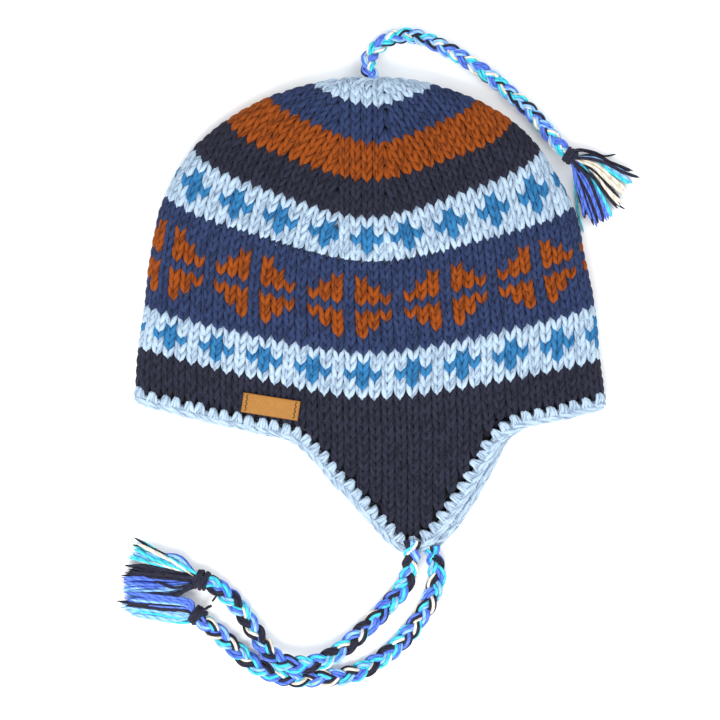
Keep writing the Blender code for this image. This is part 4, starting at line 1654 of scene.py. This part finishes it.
@dataclass(frozen=True)
class Tassel:
    """A tassel: a neck bound with dark yarn, and cut yarns that leave it.

    Attributes:
        name: the piece's name.
        node: the CAD node that it replaces.
        knot: the neck's middle, in millimetres.
        axis: the direction in which the yarns leave.
        neck: the neck's radii across and upward.
        turns: how many turns bind it.
        locks: its locks.
        strands: its yarns that show singly.
        seed: the seed of its small irregularities.
    """

    name: str
    node: str
    knot: tuple[float, float, float]
    axis: tuple[float, float, float]
    neck: tuple[float, float]
    turns: int
    locks: tuple[Lock, ...]
    strands: tuple[Strand, ...]
    seed: int
    thickness: float = 0.88
    rings: int = 17

    def build(self) -> bpy.types.Object:
        """Make the tassel.

        Returns:
            The piece.
        """
        draft = MeshDraft(self.name)
        chance = np.random.default_rng(self.seed)
        knot, axis = np.array(self.knot), unit(np.array(self.axis))
        lines, radii, slots = [], [], []
        for lock in self.locks:
            turn, end = np.array(lock.turn), np.array(lock.end)
            ahead = unit(end - turn)
            side = unit(np.cross(ahead, (0.0, 0.0, 1.0)))
            rise = np.cross(side, ahead)
            colours = [yarn for yarn, count in lock.yarns for _ in range(count)]
            for number, yarn in enumerate(colours):
                angle = chance.uniform(0, 2 * math.pi)
                share = math.sqrt(chance.uniform(0.02, 1.0))
                across = (2 * (number + 0.5) / len(colours) - 1) * 0.75 + 0.25 * math.cos(angle) * share
                spot = side * across * lock.radius + rise * math.sin(angle) * share * lock.radius * 0.6
                trim = 1 + chance.normal(0.0, 0.05)
                root = knot - axis * 2.5 + spot * 0.55
                neck = knot + axis * 2.5 + spot * 0.8
                bow = chance.normal(0.0, 0.7, 3) * (1, 1, 0.5)
                tip = turn + (end - turn) * trim + spot * 1.25 + chance.normal(0.0, 0.6, 3)
                half = (turn + spot + tip) / 2 + bow
                lines.append(np.array([root, neck, turn + spot + bow * 0.4, half, tip]))
                radii.append(self.thickness * chance.uniform(0.85, 1.15))
                slots.append(draft.slot_of(WOOL[yarn]))
        for strand in self.strands:
            fine = spline(np.array(strand.points)[None], 5)[0]
            lines.append(fine)
            radii.append(strand.radius)
            slots.append(draft.slot_of(WOOL[strand.yarn]))
        line = spline(np.array(lines) * MM, self.rings)
        line -= np.array(FORM.origin)
        radius = np.array(radii) * MM
        taper = np.ones(self.rings)
        taper[-3:] = (0.98, 0.8, 0.22)
        width = radius[:, None] * taper
        line[..., 2] = np.maximum(line[..., 2], width + 0.05 * MM)
        facing = np.broadcast_to(np.array([0.0, 0.0, 1.0]), line.shape)
        draft.tubes(line, width, facing, np.array(slots), 7, chance.uniform(0, 50, len(line)))
        self._bind(draft, knot, axis)
        return draft.build("braid_wool", [self.node])

    def _bind(self, draft: MeshDraft, knot: np.ndarray, axis: np.ndarray) -> None:
        """Wind the dark yarn round the neck.

        Args:
            draft: the tassel's mesh.
            knot: the neck's middle, in millimetres.
            axis: the direction in which the yarns leave.
        """
        chance = np.random.default_rng(self.seed + 1)
        side = unit(np.cross(axis, (0.0, 0.0, 1.0)))
        up = np.cross(side, axis)
        wide, tall = self.neck
        lines, facings = [], []
        for k in range(self.turns):
            angle = np.linspace(0.0, 2 * math.pi, 33)
            step = (k - (self.turns - 1) / 2) * 1.55
            swell = 1 - 0.12 * abs(k - (self.turns - 1) / 2) / max(1, self.turns / 2) + chance.normal(0, 0.02)
            tilt = chance.normal(0.0, 0.12)
            across = np.cos(angle) * wide * swell
            rise = np.sin(angle) * tall * swell
            ahead = step + across * tilt + rise * chance.normal(0.0, 0.1)
            lines.append(knot + side * across[:, None] + up * rise[:, None] + axis * ahead[:, None])
            facings.append(unit(side * across[:, None] / wide + up * rise[:, None] / tall))
        line = np.array(lines) * MM - np.array(FORM.origin)
        line[..., 2] = np.maximum(line[..., 2], 0.95 * MM)
        width = np.full(line.shape[:2], 1.0 * MM)
        ink = draft.slot_of(WOOL[Yarn.INK])
        draft.tubes(line, width, np.array(facings), np.full(self.turns, ink), 8, chance.uniform(0, 50, self.turns))


@dataclass(frozen=True)
class Braid:
    """A flat braid of three strands, each of several yarns; sizes in millimetres.

    Attributes:
        name: the piece's name.
        node: the CAD node that it replaces.
        route: the places that its middle line passes, in the table's frame.
        diameter: its width.
        strands: the yarns of its three strands.
        tassel: the tassel on its end.
        period: the length in which a strand comes back to its place.
        start: how long the yarns run side by side before the braid begins.
        seed: the seed of its small irregularities.
    """

    name: str
    node: str
    route: tuple[tuple[float, float, float], ...]
    exit: tuple[float, float, float]
    diameter: float
    strands: tuple[tuple[Yarn, ...], ...]
    tassel: Tassel
    seed: int
    period: float = 25.0
    start: float = 9.0
    phase: float = 0.0

    def build(self) -> bpy.types.Object:
        """Returns:
            The piece.
        """
        draft = MeshDraft(self.name)
        chance = np.random.default_rng(self.seed)
        size = self.diameter / 11.4
        points = np.array(self.route)
        centre = evenly(spline(points[None], 24 * (len(points) - 1) + 1)[0], 0.9)
        reach = np.concatenate([[0.0], np.cumsum(np.linalg.norm(np.diff(centre, axis=0), axis=1))])
        ahead = unit(np.gradient(centre, axis=0))
        side = unit(np.cross(ahead, (0.0, 0.0, 1.0)))
        up = np.cross(side, ahead)
        opening = np.clip(reach / self.start, 0.0, 1.0)
        opening = opening * opening * (3 - 2 * opening)
        closing = np.clip((reach[-1] - reach) / 8.0, 0.0, 1.0)
        closing = closing * closing * (3 - 2 * closing)
        sway = 3.05 * size * (0.35 + 0.65 * opening) * (0.45 + 0.55 * closing)
        depth = 1.75 * size * opening * (0.3 + 0.7 * closing)
        lines, radii, slots = [], [], []
        for k, yarns in enumerate(self.strands):
            wander = np.interp(reach, np.linspace(0, reach[-1], 12), chance.normal(0.0, 0.10, 12))
            turn = 2 * math.pi * ((reach + self.phase) / (self.period * size) + k / 3) + wander
            if self.start > 0:
                lane = (k - 1) * 2.9 * size * (1 - opening)
            else:
                lane = 0.0
            middle = (centre + side * (sway * np.sin(turn) * opening + lane)[:, None]
                      + up * (depth * np.sin(2 * turn))[:, None])
            going = unit(np.gradient(middle, axis=0))
            wide = unit(np.cross(going, up))
            tall = np.cross(wide, going)
            for j in range(len(yarns)):
                spin = 2 * math.pi * (j / len(yarns) + reach / 70.0) + chance.normal(0.0, 0.15)
                fat = 1.0 + 0.06 * np.sin(reach * 0.8 + chance.uniform(0, 6))
                across = np.cos(spin) * 1.55 * size * fat
                rise = np.sin(spin) * 1.10 * size * fat
                lines.append(middle + wide * across[:, None] + tall * rise[:, None])
                radii.append(np.full(len(reach), 0.98 * size) * chance.uniform(0.92, 1.08))
                slots.append(draft.slot_of(WOOL[yarns[j]]))
        line = np.array(lines) * MM - np.array(FORM.origin)
        width = np.array(radii) * MM
        line[..., 2] = np.maximum(line[..., 2], width + 0.05 * MM)
        facing = np.broadcast_to(np.array([0.0, 0.0, 1.0]), line.shape)
        draft.tubes(line, width, facing, np.array(slots), 7, chance.uniform(0, 50, len(line)))
        piece = draft.build("braid_wool", [self.node])
        bound = self.tassel.build()
        return piece


TOP_TASSEL = Tassel(
    "top_tassel_yarns", "top_tassel", (115.1, 91.3, 6.2), (0.80, -0.60, 0.0), (4.0, 3.9), 4,
    (
        Lock((127, 91.0, 5.2), (150.0, 82.0, 3.2), 1.5, ((Yarn.INK, 2), (Yarn.SKY, 2))),
        Lock((130, 88.6, 4.6), (150.5, 76.0, 3.0), 2.2, ((Yarn.SKY, 3), (Yarn.CYAN, 3))),
        Lock((129, 85.4, 6.4), (146.6, 70.0, 4.4), 2.6, ((Yarn.CREAM, 7), (Yarn.INK, 1))),
        Lock((127.6, 81.4, 5.0), (143.4, 62.6, 3.6), 2.4, ((Yarn.CREAM, 2), (Yarn.SKY, 3), (Yarn.INK, 2))),
        Lock((125.4, 77.6, 7.4), (137.4, 55.8, 4.6), 2.8, ((Yarn.CYAN, 1), (Yarn.SKY, 2), (Yarn.ROYAL, 4))),
        Lock((122.6, 75.6, 5.4), (131.6, 53.2, 3.6), 2.8, ((Yarn.ROYAL, 4), (Yarn.INK, 3), (Yarn.ROYAL, 2))),
        Lock((119.4, 76.6, 4.6), (125.0, 56.8, 3.0), 2.4, ((Yarn.INK, 6), (Yarn.ROYAL, 1))),
    ),
    (
        Strand(Yarn.INK, ((114, 92.4, 9), (120, 95.2, 6.5), (129, 93.8, 4.0), (135, 91.4, 3), (142.0, 92.6, 2.6)), 0.62),
        Strand(Yarn.INK, ((114, 91.4, 9), (121, 94.2, 6.0), (129, 92.6, 3.4), (135, 90.4, 2.2), (139.4, 87.6, 2)), 0.55),
        Strand(Yarn.INK, ((115, 90, 9), (126, 89.6, 9.0), (136, 87.0, 7.0), (146, 82.0, 5.0), (155.4, 79.0, 3.4)), 1.0),
        Strand(Yarn.CYAN, ((117, 87, 3), (118.4, 72, 2.4), (119.4, 64, 2.0), (120.6, 56, 1.6), (123.4, 47.4, 1.2)), 0.6),
        Strand(Yarn.INK, ((116, 88, 9), (125, 79, 10.0), (130, 68, 8.0), (133, 60, 6.0), (134.4, 53.0, 4.4)), 1.0),
        Strand(Yarn.INK, ((116, 89, 9), (128, 79, 8.4), (134, 71, 6.6), (140, 65, 5.0), (147.4, 60.6, 3.0)), 0.6),
    ),
    31,
)
FRONT_TASSEL = Tassel(
    "front_tassel_yarns", "front_tassel", (-97.1, -152.8, 6.4), (-0.96, 0.26, 0.0), (5.3, 4.6), 5,
    (
        Lock((-109, -140.8, 7.6), (-130.6, -136.8, 4.0), 2.2, ((Yarn.SKY, 6), (Yarn.ROYAL, 1))),
        Lock((-111, -143.6, 9.0), (-135.4, -132.6, 4.6), 2.6, ((Yarn.CYAN, 4), (Yarn.CREAM, 2), (Yarn.INK, 2))),
        Lock((-112, -146.8, 9.6), (-138.4, -139.2, 4.6), 2.4, ((Yarn.CYAN, 2), (Yarn.CREAM, 2), (Yarn.SKY, 2))),
        Lock((-113, -149.6, 10.4), (-139.6, -146.6, 5.0), 2.8, ((Yarn.INK, 10),)),
        Lock((-114, -153.0, 7.6), (-141.0, -152.6, 4.2), 3.0, ((Yarn.ROYAL, 9), (Yarn.INK, 1))),
        Lock((-114, -156.4, 5.2), (-140.8, -156.6, 3.2), 2.8, ((Yarn.SKY, 5), (Yarn.ROYAL, 3), (Yarn.INK, 1))),
        Lock((-112, -159.6, 3.6), (-139.6, -160.4, 2.6), 2.4, ((Yarn.SKY, 5), (Yarn.ICE, 3))),
    ),
    (
        Strand(Yarn.CYAN, ((-98, -150, 9), (-112, -142, 10), (-121, -137, 7), (-128, -132.6, 5), (-133.4, -130.2, 3)), 0.95),
        Strand(Yarn.INK, ((-98, -151, 9), (-113, -143.6, 8), (-123, -138, 6), (-131, -134.4, 4), (-137, -132.6, 3)), 0.6),
        Strand(Yarn.INK, ((-97, -152, 10), (-112, -150, 12), (-124, -148.4, 9), (-134, -149.6, 6), (-142, -153.0, 4)), 1.0),
        Strand(Yarn.INK, ((-98, -155, 8), (-105, -158, 10.5), (-110, -161, 9), (-116, -165.6, 6), (-120, -170.6, 4)), 1.15),
        Strand(Yarn.INK, ((-98, -154, 8), (-104, -157, 10.5), (-109, -160, 9.6), (-115, -163.6, 6.6), (-119, -169, 4)), 1.05),
        Strand(Yarn.INK, ((-98, -154, 9), (-112, -157, 11), (-120, -154.4, 9.4), (-126, -152, 7), (-134, -150.4, 5)), 0.9),
        Strand(Yarn.INK, ((-101, -157, 8), (-116, -161, 7.4), (-124, -160.2, 6.2), (-130, -161, 5), (-134.4, -163.4, 4)), 0.75),
        Strand(Yarn.INK, ((-93, -157, 7), (-89, -159, 7.5), (-88, -161, 7), (-89.6, -163.6, 6), (-91, -165.4, 5)), 0.6),
    ),
    32,
)
BACK_TASSEL = Tassel(
    "back_tassel_yarns", "back_tassel", (-99.5, -173.2, 6.4), (-0.72, 0.60, 0.0), (5.2, 4.6), 4,
    (
        Lock((-104, -166.0, 8.0), (-138.6, -161.6, 4.6), 3.0, ((Yarn.ROYAL, 8), (Yarn.INK, 1))),
        Lock((-106.6, -169.0, 7.0), (-141.2, -165.4, 4.0), 3.0, ((Yarn.INK, 7), (Yarn.SKY, 2))),
        Lock((-108, -172.2, 5.4), (-140.8, -167.8, 3.2), 2.8, ((Yarn.SKY, 6), (Yarn.ICE, 3))),
        Lock((-108.6, -174.6, 3.4), (-138.6, -171.0, 2.2), 2.2, ((Yarn.SKY, 3), (Yarn.CYAN, 3))),
    ),
    (
        Strand(Yarn.CYAN, ((-99, -175.6, 3), (-112, -176.4, 2.4), (-123, -175.4, 2), (-132, -172.4, 1.6), (-141.4, -167.6, 1.4)), 0.7),
        Strand(Yarn.CYAN, ((-99, -176.4, 4), (-108, -177.6, 3.2), (-114, -177, 2.6), (-120, -176.2, 2), (-127, -174.8, 1.6)), 0.9),
        Strand(Yarn.INK, ((-99, -171, 10), (-95.4, -169.8, 9.6), (-93.6, -168.6, 8.6), (-92.4, -168.0, 7.6), (-91.0, -167.6, 6.6)), 0.8),
    ),
    33,
)
TOP_BRAID = Braid(
    "top_braid_strands", "top_braid",
    ((0.8, 132.6, 15.4), (0.6, 137.0, 14.4), (-1.4, 142.9, 12), (0.2, 149.3, 9.6), (5.4, 155, 7.2), (13, 159.4, 5.2),
     (22.5, 160.9, 4.1), (35.2, 157.2, 3.7), (51.2, 149.2, 3.7), (66.5, 139.3, 3.7), (80.2, 127.9, 3.7),
     (93.1, 116.3, 3.7), (103.8, 103.6, 4.2), (110.9, 95.4, 5.2), (114.6, 91.8, 6.0)),
    (0.6, 137.6, 11.0), 9.6,
    ((Yarn.SKY, Yarn.ROYAL, Yarn.SKY, Yarn.CYAN, Yarn.CREAM),
     (Yarn.ROYAL, Yarn.ROYAL, Yarn.INK, Yarn.SKY, Yarn.ROYAL),
     (Yarn.CYAN, Yarn.CREAM, Yarn.SKY, Yarn.INK, Yarn.CYAN)),
    TOP_TASSEL, 41, start=4.0,
)
FRONT_TIE = Braid(
    "front_tie_strands", "front_tie",
    ((24.4, -129.8, 14.6), (24.1, -134.6, 14.6), (23.7, -139.6, 12.4), (23.2, -146.5, 8.6), (19.5, -156.5, 5.6),
     (10.9, -166.9, 4.8), (1.1, -177, 6.0), (-9.6, -187, 8.8), (-19, -194.4, 11.2), (-29, -199.4, 12.4),
     (-40.2, -201.3, 12.5), (-50.6, -199.3, 11.6), (-59.4, -192.8, 9.4), (-66.3, -182.4, 6.8), (-73.6, -171.2, 5.0),
     (-82, -161.8, 4.4), (-90.6, -155.2, 5.2), (-96.4, -152.8, 6.2)),
    (23.8, -137.45, 11.0), 11.4,
    ((Yarn.CYAN, Yarn.CREAM, Yarn.INK, Yarn.CYAN, Yarn.SKY),
     (Yarn.ROYAL, Yarn.SKY, Yarn.ROYAL, Yarn.ROYAL, Yarn.CYAN),
     (Yarn.INK, Yarn.INK, Yarn.INK, Yarn.ROYAL, Yarn.INK)),
    FRONT_TASSEL, 42,
)
BACK_TIE = Braid(
    "back_tie_strands", "back_tie",
    ((35.3, -133.6, 5.6), (36.6, -140.0, 5.0), (38.6, -148, 4.2), (37, -158.6, 4.1), (31.6, -170.3, 4.1),
     (23.6, -181.9, 4.1), (13.6, -192.6, 4.1), (2, -201.2, 4.1), (-9, -206.6, 4.1), (-19.6, -208.9, 4.1),
     (-30.5, -209.4, 4.1), (-41.5, -209.6, 4.1), (-52.6, -208, 4.1), (-62.6, -203.9, 4.1), (-72.4, -197.3, 4.1),
     (-80.9, -189.6, 4.1), (-88.3, -183, 4.2), (-94.8, -178.2, 5.0), (-98.6, -174.4, 5.8)),
    (35.3, -135.2, 6.0), 11.4,
    ((Yarn.ROYAL, Yarn.CYAN, Yarn.ROYAL, Yarn.SKY, Yarn.ROYAL),
     (Yarn.INK, Yarn.INK, Yarn.ROYAL, Yarn.INK, Yarn.CREAM),
     (Yarn.SKY, Yarn.CYAN, Yarn.CREAM, Yarn.INK, Yarn.CYAN)),
    BACK_TASSEL, 43,
)


# ---------------------------------------------------------------- camera, light and floor


@dataclass(frozen=True)
class Studio:
    """The camera straight above the hat, soft light and a plain pale floor.

    Attributes:
        scale: metres in one pixel of the photo's frame.
        height: the camera's height.
        reference: the height of the plane that has that scale.
        centre: where the frame's middle falls, in the row frame.
    """

    scale: float = 0.575 * MM
    pixels: int = 720
    height: float = 2.2
    reference: float = 9.0 * MM
    centre: tuple[float, float] = (-5.91 * MM, -26.28 * MM)

    def camera(self) -> None:
        """Place the camera."""
        data = bpy.data.cameras.new("camera")
        data.sensor_width = 36.0
        data.lens = data.sensor_width * (self.height - self.reference) / (self.pixels * self.scale)
        data.clip_start, data.clip_end = 0.05, 20.0
        camera = bpy.data.objects.new("camera", data)
        camera.location = (*self.centre, self.height)
        bpy.context.scene.collection.objects.link(camera)
        bpy.context.scene.camera = camera

    def floor(self) -> None:
        """Lay the floor."""
        mesh = bpy.data.meshes.new("floor")
        reach = 3.0
        corners = [(-reach, -reach, 0), (reach, -reach, 0), (reach, reach, 0), (-reach, reach, 0)]
        mesh.from_pydata(corners, [], [(0, 1, 2, 3)])
        mesh.materials.append(WARDROBE.of(FloorFinish()))
        floor = bpy.data.objects.new("floor", mesh)
        floor.location.z = -0.3 * MM
        bpy.context.scene.collection.objects.link(floor)

    def light(self, name: str, place: tuple[float, float, float], size: float, power: float, tint: Colour) -> None:
        """Hang a soft square light that looks at the hat.

        Args:
            name: the light's name.
            place: where it hangs.
            size: its width.
            power: its power in watts.
            tint: its colour.
        """
        data = bpy.data.lights.new(name, "AREA")
        data.size = size
        data.energy = power
        data.color = tint
        light = bpy.data.objects.new(name, data)
        light.location = place
        light.rotation_euler = (Vector(place) * -1).to_track_quat("-Z", "Y").to_euler()
        bpy.context.scene.collection.objects.link(light)

    def build(self) -> None:
        """Build the camera, the floor and the lights."""
        self.camera()
        self.floor()
        self.light("key", (-0.35, -0.95, 1.25), 0.9, 26.0, (1.0, 0.99, 0.975))
        self.light("fill", (0.7, 0.5, 1.3), 1.2, 8.0, (0.97, 0.99, 1.0))
        world = bpy.data.worlds.new("studio")
        world.use_nodes = True
        sky = world.node_tree.nodes["Background"]
        sky.inputs["Color"].default_value = (0.97, 0.985, 1.0, 1.0)
        sky.inputs["Strength"].default_value = 1.0
        bpy.context.scene.world = world
        bpy.context.scene.view_settings.view_transform = "Standard"


def main() -> None:
    """Build everything in order and finish the frame."""
    logging.basicConfig(level=logging.INFO, format="%(message)s")
    Studio().build()
    for braid in (TOP_BRAID, FRONT_TIE, BACK_TIE):
        braid.build()
    knitter = Knitter()
    for band in BANDS:
        knitter.band(band)
    knitter.backing()
    flaps = FlapKnitter(knitter)
    flaps.piece("knit_flap_front", Layer.UPPER, "ear_flap_front")
    flaps.piece("knit_flap_back", Layer.LOWER, "ear_flap_back")
    Edging(EdgingLine()).build()
    Label().build()


if __name__ == "__main__":
    main()
